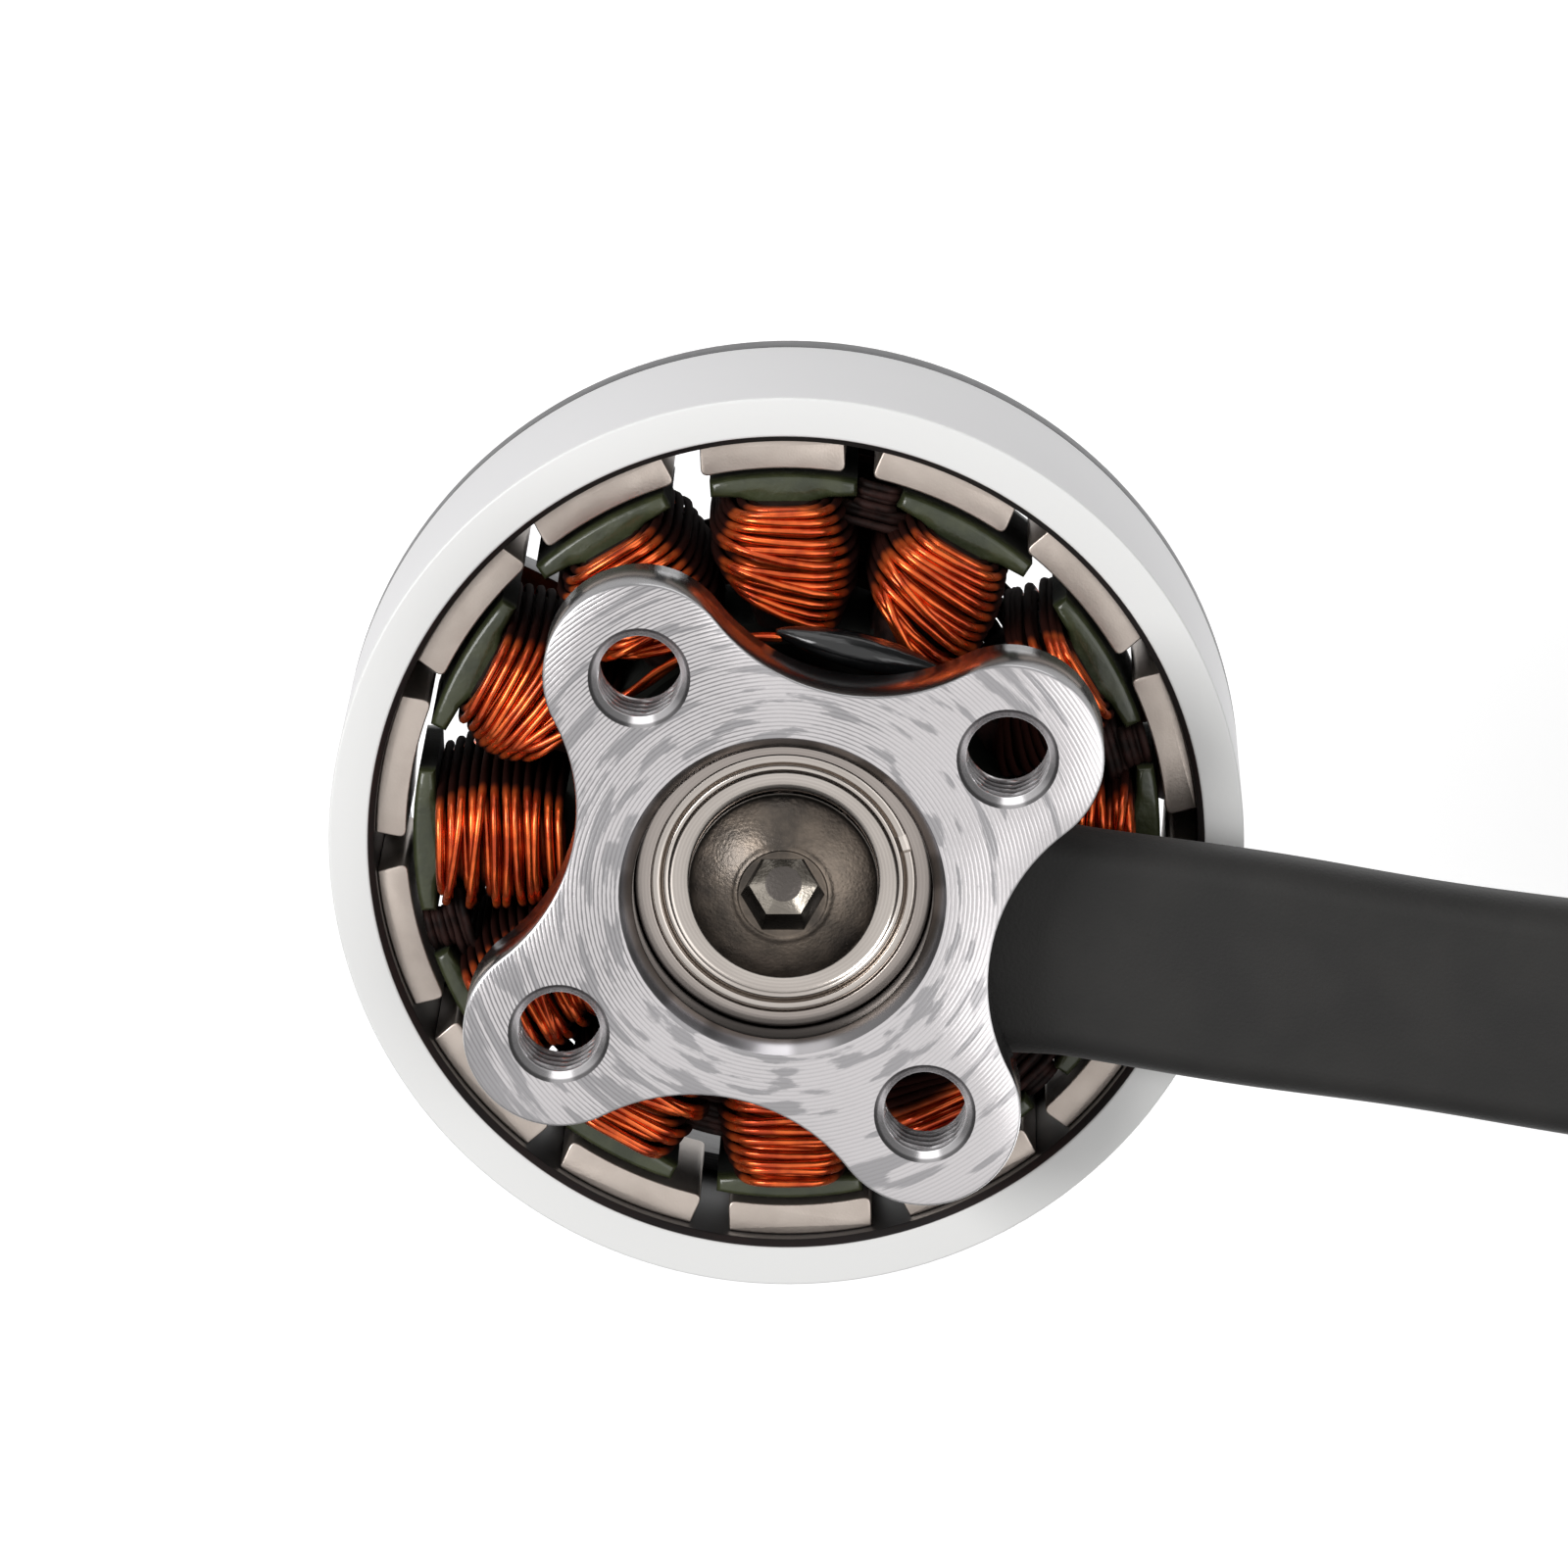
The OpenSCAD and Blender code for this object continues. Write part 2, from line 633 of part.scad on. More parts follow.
// bell: rim, spokes and hub turned in one piece, with windows between the spokes
ledge_share = 0.4;
rise_r_shares = [1, 0.85, 0.62, 0.35, 0];
rise_z_shares = [0, 0.3, 0.6, 0.83, 1];
under_r_shares = [1, 0.88, 0.62, 0];
under_z_shares = [0, 0.6, 1, 1];
module bell_profile() {
    shoulder_z = seat_z - loose * 2;
    polygon(concat(
        [
            [collar_r, tube_top - 4 * loose],
            [collar_r, hub_under]
        ],
        [for (i = [len(under_r_shares) - 1:-1:0]) [
            hub_r + (window_r - hub_r) * under_r_shares[i],
            ring_top + (hub_under - ring_top) * under_z_shares[i]
        ]],
        [
            [window_r, ring_top - spigot_h],
            [ring_r - fit, ring_top - spigot_h],
            [ring_r - fit, ring_top],
            [bell_d / 2, ring_top],
            [bell_d / 2, rim_top - rim_chamfer],
            [bell_d / 2 - rim_chamfer, rim_top]
        ],
        [for (i = [0:len(rise_r_shares) - 1]) [
            hub_top_r + (window_r + rim_w * ledge_share - hub_top_r) * rise_r_shares[i],
            rim_top + (shoulder_z - rim_top) * rise_z_shares[i]
        ]],
        [
            [seat_r, shoulder_z],
            [seat_r, seat_z],
            [prop_d / 2 + fit, seat_z],
            [press_d / 2 + fit, seat_z - press_cone],
            [press_d / 2 + fit, tube_top],
            [shaft_r + fit, tube_top],
            [shaft_r + fit, tube_top - 4 * loose]
        ]
    ));
}
module bell() {
    color("slategray")
    difference() {
        rotate_extrude() bell_profile();
        translate([0, 0, lip_z]) linear_extrude(height = seat_z) rotate([0, 0, spoke_turn]) difference() {
            circle(r = window_r);
            circle(r = hub_top_r);
            for (k = [0:spoke_count - 1])
                rotate([0, 0, 360 / spoke_count * k])
                translate([0, -spoke_w / 2])
                square([bell_d, spoke_w]);
        }
    }
}
module flux_ring() {
    color("whitesmoke")
    rotate_extrude()
    polygon([
        [ring_r + lip_chamfer, lip_z],
        [bell_d / 2, lip_z],
        [bell_d / 2, ring_top],
        [ring_r, ring_top],
        [ring_r, lip_z + lip_chamfer]
    ]);
}
module magnet(i) {
    color("tan")
    rotate([0, 0, magnet_turn + 360 / pole_count * (i - 1)])
    translate([0, 0, magnet_z])
    linear_extrude(height = magnet_h)
    intersection() {
        difference() {
            circle(r = magnet_r);
            circle(r = magnet_r - magnet_t);
        }
        translate([0, -magnet_w / 2]) square([bell_d, magnet_w]);
    }
}

// shaft with its threaded end, screw and washer; each turn of the thread is a groove of its own
function groove_at(z) = [
    [prop_d / 2, z],
    [prop_d / 2 - thread_depth, z + groove_w / 2],
    [prop_d / 2, z + groove_w]
];
module shaft() {
    color("lightgray")
    rotate_extrude()
    polygon(concat(
        [
            [screw_d / 2 + loose, shaft_z],
            [shaft_r, shaft_z],
            [shaft_r, tube_top],
            [press_d / 2, tube_top],
            [press_d / 2, seat_z - press_cone],
            [prop_d / 2, seat_z]
        ],
        [for (i = [0:groove_count - 1]) each groove_at(seat_z + thread_plain + thread_pitch * i)],
        [
            [prop_d / 2, seat_z + prop_l - prop_chamfer],
            [prop_d / 2 - prop_chamfer, seat_z + prop_l],
            [0, seat_z + prop_l],
            [0, shaft_z + shaft_hole_l],
            [screw_d / 2 + loose, shaft_z + shaft_hole_l]
        ]
    ));
}
module shaft_screw() {
    color("dimgray")
    union() {
        difference() {
            intersection() {
                translate([0, 0, head_clear]) cylinder(r = head_r, h = head_h);
                translate([0, 0, head_clear + dome_r]) sphere(r = dome_r, $fn = 120);
            }
            translate([0, 0, head_clear - cut])
            rotate([0, 0, socket_turn])
            cylinder(d = socket_af / cos(30), h = socket_h + cut, $fn = 6);
        }
        translate([0, 0, head_z]) cylinder(r = screw_d / 2, h = screw_l);
    }
}
module shaft_washer() {
    color("silver")
    translate([0, 0, head_z]) difference() {
        cylinder(r = washer_r, h = washer_t);
        translate([0, 0, -cut]) cylinder(r = screw_d / 2 + loose, h = washer_t + 2 * cut);
    }
}

base();
stator_core();
for (i = [1:slot_count]) coil(i);
outer_ring(lower_z);  // lower_outer_ring
inner_ring(lower_z);  // lower_inner_ring
cage(lower_z);  // lower_cage
balls(lower_z);  // lower_balls
shields(lower_z);  // lower_shields
snap_rings(lower_z);  // lower_snap_rings
outer_ring(upper_z);  // upper_outer_ring
inner_ring(upper_z);  // upper_inner_ring
cage(upper_z);  // upper_cage
balls(upper_z);  // upper_balls
shields(upper_z);  // upper_shields
snap_rings(upper_z);  // upper_snap_rings
star_joint();
for (k = [0:2]) phase_tail(k);
lead_sleeve();
for (k = [0:2]) lead(k);
for (k = [0:2]) lead_coil(k);
lead_ends();
lead_tie();
bell();
flux_ring();
for (i = [1:pole_count]) magnet(i);
shaft();
shaft_screw();
shaft_washer();
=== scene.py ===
# Outrunner motor for a small drone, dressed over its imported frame.
# Sizes are in millimetres and angles in degrees until they meet Blender.
import json
import math
import random

import bmesh
import bpy
from mathutils import Matrix, Vector, noise


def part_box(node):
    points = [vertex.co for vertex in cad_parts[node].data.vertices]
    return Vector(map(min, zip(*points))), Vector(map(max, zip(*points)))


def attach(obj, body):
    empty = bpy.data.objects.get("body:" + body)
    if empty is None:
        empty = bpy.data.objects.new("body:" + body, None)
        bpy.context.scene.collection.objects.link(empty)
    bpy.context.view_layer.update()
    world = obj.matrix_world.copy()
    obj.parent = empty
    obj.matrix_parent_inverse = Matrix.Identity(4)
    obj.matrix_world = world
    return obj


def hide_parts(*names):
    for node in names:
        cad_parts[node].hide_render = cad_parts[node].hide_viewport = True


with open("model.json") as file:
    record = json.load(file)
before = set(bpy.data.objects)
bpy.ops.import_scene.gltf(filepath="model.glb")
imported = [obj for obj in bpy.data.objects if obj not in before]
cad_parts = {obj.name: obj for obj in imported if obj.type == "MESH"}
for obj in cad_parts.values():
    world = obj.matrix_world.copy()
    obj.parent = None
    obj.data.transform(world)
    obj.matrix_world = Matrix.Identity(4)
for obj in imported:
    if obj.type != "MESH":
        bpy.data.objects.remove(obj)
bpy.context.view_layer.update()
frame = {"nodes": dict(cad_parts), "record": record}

mm = 0.001


# Base: one aluminium part. Its hub and bearing tube are turned, its four arms milled, and its lower
# face is fly-cut, which leaves fine rings round the bore. Each arm has a tapped M3 hole.
hole_circle_r = next(m for m in frame["record"]["mounts"] if m["name"] == "arm_holes")["dims"]["pcd_mm"] / 2
hole_xy = hole_circle_r / math.sqrt(2)
arm_t = 2.8
arm_edge = 0.09
lobe_r = 2.9
waist_r = 6.5
hub_r = 6.2
hub_edge = 0.1
tube_r = 5.6
tube_edge = 0.15
tube_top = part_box("base")[1].z / mm
stack_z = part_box("stator_core")[0].z / mm
lead_in_r = 4.93
lead_in_h = 0.4
bore_r = 4.51
bore_from = 1.25
shoulder_r = 4.1
bearing_z = {"lower": 1.6, "upper": 10.8}
bearing_w = 4
tap_r = 1.25
tap_mouth_r = 1.54
tap_chamfer = 0.27
tap_pitch = 0.5
tap_depth = 0.24
tap_rows = 40


def ring_of(bm, points):
    """A closed loop of edges through points."""
    verts = [bm.verts.new([c * mm for c in p]) for p in points]
    return [bm.edges.new((verts[i - 1], verts[i])) for i in range(len(verts))]


def z_turn(angle):
    return Matrix.Rotation(math.radians(angle), 4, "Z")


def polar(r, a, x=0, y=0):
    """The point at radius r and angle a, in radians, about (x, y)."""
    return x + r * math.cos(a), y + r * math.sin(a)


def loop_of(bm, points, z):
    """A closed loop of edges through (x, y) points at one height."""
    return ring_of(bm, [(x, y, z) for x, y in points])


def circle_points(r, count, x=0, y=0):
    return [polar(r, 2 * math.pi * i / count, x, y) for i in range(count)]


def skin(bm, *loops):
    """Walls from each loop to the next."""
    return [bmesh.ops.bridge_loops(bm, edges=a + b) for a, b in zip(loops, loops[1:])]


def capped(bm, *loops):
    """A face over each loop."""
    for loop in loops:
        bmesh.ops.contextual_create(bm, geom=loop)


def spun(bm, outline, steps, closed=False):
    """Spins a line of (radius, height) points once round the shaft's axis."""
    verts = [bm.verts.new((r * mm, 0, z * mm)) for r, z in outline]
    edges = [bm.edges.new((verts[i - 1], verts[i])) for i in range(0 if closed else 1, len(verts))]
    bmesh.ops.spin(bm, geom=verts + edges, cent=(0, 0, 0), axis=(0, 0, 1), angle=2 * math.pi, steps=steps,
                   use_merge=True, use_duplicate=False)


def rim_at(bm, r, z):
    """The loop of edges at one radius and height."""
    close = 0.001
    return [e for e in bm.edges if all(
        abs(v.co.xy.length / mm - r) < close and abs(v.co.z / mm - z) < close for v in e.verts)]


def arm_outline(inset):
    """The outline of the four arms, moved in by a given distance."""
    fillet = (lobe_r**2 - (waist_r - hole_xy)**2 - hole_xy**2) / (2 * (waist_r - hole_xy - lobe_r))
    middle = waist_r + fillet
    swing = math.atan2(hole_xy, middle - hole_xy)
    waist_steps, lobe_steps = 24, 36
    points = []
    for quarter in range(4):
        turn = Matrix.Rotation(math.pi / 2 * quarter, 2)
        for i in range(waist_steps):
            a = math.pi + swing - 2 * swing * i / waist_steps
            points.append(turn @ Vector(polar(fillet + inset, a, middle)))
        for i in range(lobe_steps):
            a = (math.pi / 2 + 2 * swing) * i / lobe_steps - swing
            points.append(turn @ Vector(polar(lobe_r - inset, a, hole_xy, hole_xy)))
    return points


def cut_thread(bm, x, y, r, z0, z1, pitch, depth, fade):
    """Presses a helical groove into the round wall of radius r about (x, y), from z0 to z1."""
    for v in bm.verts:
        dx, dy, z = v.co.x / mm - x, v.co.y / mm - y, v.co.z / mm
        if abs(math.hypot(dx, dy) - r) < 0.002 and z0 <= z <= z1:
            phase = (z / pitch - math.atan2(dy, dx) / (2 * math.pi)) % 1
            groove = abs(2 * phase - 1) * min(1, (z - z0) / fade, (z1 - z) / fade)
            v.co.x += dx / r * depth * groove * mm
            v.co.y += dy / r * depth * groove * mm


def placed(name, data):
    """A new object in the scene."""
    piece = bpy.data.objects.new(name, data)
    bpy.context.scene.collection.objects.link(piece)
    return piece


def meshed(bm, name):
    mesh = bpy.data.meshes.new(name)
    bm.to_mesh(mesh)
    bm.free()
    return mesh


def finish(bm, name, body, material, replaces=(), smooth=32):
    """Makes the mesh an object that rides on a body and stands for CAD nodes."""
    bmesh.ops.recalc_face_normals(bm, faces=bm.faces)
    if bm.calc_volume(signed=True) < 0:
        bmesh.ops.reverse_faces(bm, faces=bm.faces)
    mesh = meshed(bm, name)
    mesh.polygons.foreach_set("use_smooth", [True] * len(mesh.polygons))
    mesh.set_sharp_from_angle(angle=math.radians(smooth))
    mesh.materials.append(material)
    piece = placed(name, mesh)
    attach(piece, body)
    if replaces:
        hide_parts(*replaces)
    return piece


def put(tree, kind, inputs=(), **settings):
    """Adds a node, with its settings and its inputs, each a plain value or a socket to link."""
    made = tree.nodes.new(kind)
    for key, value in settings.items():
        setattr(made, key, value)
    for key, value in dict(inputs).items():
        if isinstance(value, bpy.types.NodeSocket):
            tree.links.new(value, made.inputs[key])
        else:
            made.inputs[key].default_value = value
    return made


def tree_of(*values):
    """The node tree that the sockets among the values belong to."""
    return next(value.id_data for value in values if isinstance(value, bpy.types.NodeSocket))


def sums(operation, a, b=0.0, c=0.0):
    return put(tree_of(a, b, c), "ShaderNodeMath", {0: a, 1: b, 2: c}, operation=operation).outputs[0]


def scaled(value, factor, offset):
    """The value times a factor, plus an offset."""
    return sums("MULTIPLY_ADD", value, factor, offset)


def vectors(operation, a, b=(0, 0, 0)):
    """A sum of vectors, or the plain value that it gives."""
    plain = operation in ("LENGTH", "DISTANCE", "DOT_PRODUCT")
    made = put(tree_of(a, b), "ShaderNodeVectorMath", {0: a, 1: b}, operation=operation)
    return made.outputs["Value" if plain else "Vector"]


def blended(share, a, b):
    """A colour between a and b."""
    a, b = ((*colour, 1) if isinstance(colour, tuple) else colour for colour in (a, b))
    return put(share.id_data, "ShaderNodeMix", {0: share, 6: a, 7: b}, data_type="RGBA").outputs[2]


def between(value, low, high):
    """0 at low, 1 at high, smooth between and level beyond."""
    return put(value.id_data, "ShaderNodeMapRange", {"Value": value, "From Min": low, "From Max": high},
               interpolation_type="SMOOTHSTEP").outputs[0]


def own_place(tree):
    """Where a point lies in its piece, in metres."""
    return put(tree, "ShaderNodeTexCoord").outputs["Object"]


def z_of(vector):
    return put(vector.id_data, "ShaderNodeSeparateXYZ", {0: vector}).outputs[2]


def radius_of(tree):
    """The distance from the shaft's axis."""
    return vectors("LENGTH", vectors("MULTIPLY", own_place(tree), (1, 1, 0)))


def speckle(tree, scale, detail, roughness=0.5, place=None):
    """Noise over the piece, or over another place that is given."""
    values = {"Vector": place or own_place(tree), "Scale": scale, "Detail": detail, "Roughness": roughness}
    return put(tree, "ShaderNodeTexNoise", values).outputs[0]


def group_of(name, inputs, outputs):
    """A shader node group with float inputs and their defaults, and float outputs."""
    tree = bpy.data.node_groups.new(name, "ShaderNodeTree")
    for key, value in inputs.items():
        tree.interface.new_socket(key, in_out="INPUT", socket_type="NodeSocketFloat").default_value = value
    for key in outputs:
        tree.interface.new_socket(key, in_out="OUTPUT", socket_type="NodeSocketFloat")
    return tree, tree.nodes.new("NodeGroupInput").outputs, tree.nodes.new("NodeGroupOutput").inputs


def turned_marks():
    """Rings that a cutting tool leaves round the axis, and the patches in which they catch the light."""
    tree, given, out = group_of("turned_marks", {"Pitch": 0.13, "Wander": 0.03, "Along": 1.6, "Across": 1.1},
                                ("Rings", "Patches", "Fine", "Cover"))
    place = vectors("MULTIPLY", own_place(tree), (1000, 1000, 1000))
    flat = vectors("MULTIPLY", place, (1, 1, 0))
    across = sums("ADD", vectors("LENGTH", flat), z_of(place))
    lift = put(tree, "ShaderNodeCombineXYZ", {2: sums("MULTIPLY", across, given["Across"])}).outputs[0]
    spread = put(tree, "ShaderNodeVectorMath", {0: vectors("NORMALIZE", flat), "Scale": given["Along"]},
                 operation="SCALE").outputs[0]
    unrolled = vectors("ADD", spread, lift)
    fine = speckle(tree, 7, 2, place=unrolled)
    shifted = scaled(sums("SUBTRACT", fine, 0.5), given["Wander"], across)
    rings = sums("SINE", sums("DIVIDE", sums("MULTIPLY", shifted, 2 * math.pi), given["Pitch"]))
    tree.links.new(scaled(rings, 0.5, 0.5), out["Rings"])
    tree.links.new(speckle(tree, 1, 1, 0.35, unrolled), out["Patches"])
    tree.links.new(fine, out["Fine"])
    tree.links.new(speckle(tree, 0.16, 1, place=place), out["Cover"])
    return tree


turned = turned_marks()


def marks_on(tree, pitch, wander, along, across):
    values = {"Pitch": pitch, "Wander": wander, "Along": along, "Across": across}
    return put(tree, "ShaderNodeGroup", values, node_tree=turned).outputs


def shader(name, **values):
    """A new material with its tree and its Principled shader, whose plain values are set."""
    material = bpy.data.materials.new(name)
    material.use_nodes = True
    tree = material.node_tree
    surface = tree.nodes["Principled BSDF"]
    for key, value in values.items():
        socket = surface.inputs[key.replace("_", " ")]
        socket.default_value = (*value, 1) if isinstance(value, tuple) else value
    return material, tree, surface


def driven(surface, **sockets):
    """Links sockets to the inputs of a shader."""
    for key, socket in sockets.items():
        surface.id_data.links.new(socket, surface.inputs[key.replace("_", " ")])


def bumped(surface, height, distance):
    bump = put(surface.id_data, "ShaderNodeBump", {"Height": height, "Distance": distance * mm})
    driven(surface, Normal=bump.outputs[0])


material, tree, surface = shader("fly_cut_aluminium")
marks = marks_on(tree, 0.127, 0.04, 3.2, 2.9)
place = own_place(tree)
height = z_of(place)
facing = z_of(put(tree, "ShaderNodeTexCoord").outputs["Normal"])
cut_face = between(sums("ABSOLUTE", facing), 0.93, 0.99)
# Painted sheen: painted shade in the rings' grooves, strongest on one side of the face, and painted dim patches of
# reflection, mostly on another.
ring_glint_side = vectors("DOT_PRODUCT", place, (-110, -36, 0))
ring_glint = between(scaled(ring_glint_side, 0.25, marks["Cover"]), 0.4, 0.74)
valley = sums("SUBTRACT", 1.0, between(marks["Rings"], 0.03, 0.55))
groove = sums("MULTIPLY", valley, scaled(ring_glint, 0.64, 0.17))
sheen_breakup = scaled(marks["Fine"], 0.16, marks["Patches"])
sheen_patches = scaled(vectors("DOT_PRODUCT", place, (-20, 30, 0)), 0.16, sheen_breakup)
dim_sheen = between(scaled(marks["Cover"], -0.3, sheen_patches), 0.465, 0.545)
bright = blended(groove, (0.62, 0.595, 0.602), (0.16, 0.155, 0.16))
grey = blended(sums("MULTIPLY", groove, 0.7), (0.37, 0.36, 0.368), (0.14, 0.135, 0.14))
# Tapped holes: painted light and shade, a dark rim over a bright cone, and painted highlights on the crests over
# painted shade in the grooves.
folded = vectors("MULTIPLY", vectors("ABSOLUTE", place), (1, 1, 0))
from_hole = vectors("DISTANCE", folded, (hole_xy * mm, hole_xy * mm, 0))
tapped = between(from_hole, (tap_mouth_r + 0.2) * mm, (tap_mouth_r + 0.1) * mm)
thread_glint_and_shade = blended(between(from_hole, (tap_r + 0.02) * mm, (tap_r + 0.12) * mm),
                  (0.92, 0.9, 0.91), (0.13, 0.126, 0.13))
cone = blended(between(from_hole, (tap_mouth_r - 0.14) * mm, (tap_mouth_r - 0.07) * mm),
               (0.78, 0.76, 0.77), (0.25, 0.243, 0.247))
mouth = between(height, tap_chamfer * mm, (tap_chamfer - 0.04) * mm)
tapped_wall = blended(mouth, thread_glint_and_shade, cone)
# Bore: painted patches of sheen on its lead-in taper, and painted shade on the bore above it.
taper = blended(between(marks["Patches"], 0.42, 0.56), (0.3, 0.29, 0.295), (0.56, 0.54, 0.56))
above = between(height, lead_in_h * mm, (lead_in_h + 0.06) * mm)
bore_sheen_and_shade = blended(above, taper, (0.035, 0.033, 0.033))
by_bore = between(radius_of(tree), 5.2 * mm, 5.1 * mm)
plain = blended(by_bore, (0.27, 0.265, 0.27), bore_sheen_and_shade)
# Painted shade: above the arms, the hub's wall is near black.
hub_wall_shade = between(height, (arm_t + 0.05) * mm, (arm_t + 0.5) * mm)
wall = blended(hub_wall_shade, blended(tapped, plain, tapped_wall), (0.03, 0.029, 0.03))
hole_wall = sums("MULTIPLY", tapped, sums("SUBTRACT", 1.0, cut_face))
threaded = sums("MULTIPLY", hole_wall, sums("SUBTRACT", 1.0, mouth))
driven(surface, Base_Color=blended(cut_face, wall, blended(dim_sheen, bright, grey)),
       Metallic=scaled(threaded, -0.25, 1.0), Roughness=scaled(cut_face, 0.02, 0.2))
bumped(surface, sums("MULTIPLY", marks["Rings"], cut_face), 0.004)

bm = bmesh.new()
eased = 0.3 * arm_edge
outline = [loop_of(bm, arm_outline(inset), z) for z, inset in (
    (0, arm_edge), (eased, eased), (arm_edge, 0), (arm_t - arm_edge, 0), (arm_t - eased, eased), (arm_t, arm_edge))]
skin(bm, *outline)
caps = [[outline[0]], [outline[-1]]]
for x, y in ((hole_xy, hole_xy), (-hole_xy, hole_xy), (-hole_xy, -hole_xy), (hole_xy, -hole_xy)):
    rims = [loop_of(bm, circle_points(r, 48, x, y), z) for r, z in (
        (tap_mouth_r, 0), (tap_r, tap_chamfer), (tap_r, arm_t - tap_chamfer), (tap_mouth_r, arm_t))]
    walls = skin(bm, *rims)
    bmesh.ops.subdivide_edges(bm, edges=walls[1]["edges"], cuts=tap_rows, use_grid_fill=True)
    cut_thread(bm, x, y, tap_r, tap_chamfer, arm_t - tap_chamfer, tap_pitch, tap_depth, 0.15)
    caps[0].append(rims[0])
    caps[1].append(rims[-1])
low_seat, high_seat = bearing_z["lower"] + bearing_w, bearing_z["upper"]
spun(bm, [
    (lead_in_r, 0), (lead_in_r - 0.02, 0.015), (bore_r + 0.04, lead_in_h), (bore_r + 0.02, lead_in_h + 0.05),
    (bore_r + 0.01, bore_from), (bore_r, bore_from + 0.1), (bore_r, low_seat), (shoulder_r, low_seat),
    (shoulder_r, high_seat), (bore_r, high_seat), (bore_r, tube_top), (tube_r - tube_edge, tube_top),
    (tube_r, tube_top - tube_edge), (tube_r, stack_z), (hub_r - hub_edge, stack_z), (hub_r, stack_z - hub_edge),
    (hub_r, arm_t)], 144)
caps[0].append(rim_at(bm, lead_in_r, 0))
caps[1].append(rim_at(bm, hub_r, arm_t))
for cap in caps:
    bmesh.ops.triangle_fill(bm, use_beauty=True, edges=[e for loop in cap for e in loop])
finish(bm, "base_part", "stator", material, ["base"], smooth=24)


# Stator core: a stack of steel sheets with twelve teeth, under a thick green coating that rounds its edges.
# It is pressed over the bearing tube.
stator_turn = 17
slot_count = 12
slot_step = 360 / slot_count
stack_h = (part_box("stator_core")[1].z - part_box("stator_core")[0].z) / mm
stack_mid = stack_z + stack_h / 2
stator_r = 11.45
yoke_r = 6.9
tooth_w = 1.9
tip_w = 4.5
tip_mid_t = 0.78
tip_end_t = 0.5
coat_round = 0.2


def rounded(points, rounds, steps=4):
    """The outline with each corner eased over a distance, one for all or one for each corner."""
    result = []
    for i, corner in enumerate(points):
        here, before, after = Vector(corner), Vector(points[i - 1]), Vector(points[(i + 1) % len(points)])
        ease = rounds[i] if hasattr(rounds, "__len__") else rounds
        if not ease:
            result.append(tuple(here))
            continue
        a, b = here + (before - here).normalized() * ease, here + (after - here).normalized() * ease
        for k in range(steps + 1):
            u = k / steps
            result.append(tuple(a * (1 - u)**2 + here * (2 * u * (1 - u)) + b * u**2))
    return result


def oblong(r0, r1, z0, z1):
    """The four corners of a plain section."""
    return [(r0, z0), (r1, z0), (r1, z1), (r0, z1)]


def prism(bm, points, z0, z1):
    """A solid between two heights over an outline of (x, y) points. Returns its edges round both ends."""
    low, high = loop_of(bm, points, z0), loop_of(bm, points, z1)
    skin(bm, low, high)
    capped(bm, low, high)
    return low + high


def soften(bm, edges, width):
    bmesh.ops.bevel(bm, geom=edges, offset=width * mm, offset_type="OFFSET", segments=3, profile=0.5,
                    affect="EDGES", material=-1, clamp_overlap=True)


def turn_by(bm, verts, angle):
    """Turns points about the shaft's axis."""
    bmesh.ops.rotate(bm, verts=verts, cent=(0, 0, 0), matrix=z_turn(angle).to_3x3())


def in_the_slots():
    """Where shade is painted: 1 where a surface lies deep between two teeth, 0 near the ends of the stack."""
    tree, given, out = group_of("in_the_slots", {"Low": 2.2, "High": 2.9}, ("Inside",))
    from_middle = sums("ABSOLUTE", scaled(z_of(own_place(tree)), 1000.0, -stack_mid))
    tree.links.new(between(from_middle, given["High"], given["Low"]), out["Inside"])
    return tree


slots = in_the_slots()

material, tree, surface = shader("green_coating", Coat_Roughness=0.12, Specular_IOR_Level=0.35)
# Painted shade: the coating is near black deep in the slots and round the hub.
hub_shade = between(radius_of(tree), 7.8 * mm, 7.3 * mm)
inside = sums("MAXIMUM", hub_shade, put(tree, "ShaderNodeGroup", node_tree=slots).outputs["Inside"])
cloud = between(speckle(tree, 900, 3), 0.35, 0.65)
shown = blended(cloud, (0.026, 0.032, 0.013), (0.049, 0.056, 0.025))
driven(surface, Base_Color=blended(inside, shown, (0.006, 0.007, 0.005)),
       Roughness=scaled(inside, 0.55, 0.36), Coat_Weight=scaled(inside, -0.45, 0.45))
bumped(surface, speckle(tree, 4500, 2), 0.02)

bm = bmesh.new()
z0, z1 = stack_z, stack_z + stack_h
spun(bm, oblong(tube_r + 0.01, yoke_r, z0, z1), 96, closed=True)
inner = stator_r - tip_mid_t
half = math.asin(tip_w / 2 / stator_r)
arc = [polar(stator_r, half * s / 4) for s in range(-4, 5)]
side = [(arc[-1][0] - tip_end_t, tip_w / 2 - 0.03), (inner + 0.04, tooth_w / 2 + 0.4),
        (inner - 0.1, tooth_w / 2), (yoke_r - 0.2, tooth_w / 2)]
outline = arc + side + [(x, -y) for x, y in reversed(side)]
for k in range(slot_count):
    first = len(bm.verts)
    soften(bm, prism(bm, outline, z0, z1), coat_round)
    bm.verts.ensure_lookup_table()
    turn_by(bm, bm.verts[first:], stator_turn + slot_step * k)
finish(bm, "coated_core", "stator", material, ["stator_core"], smooth=40)


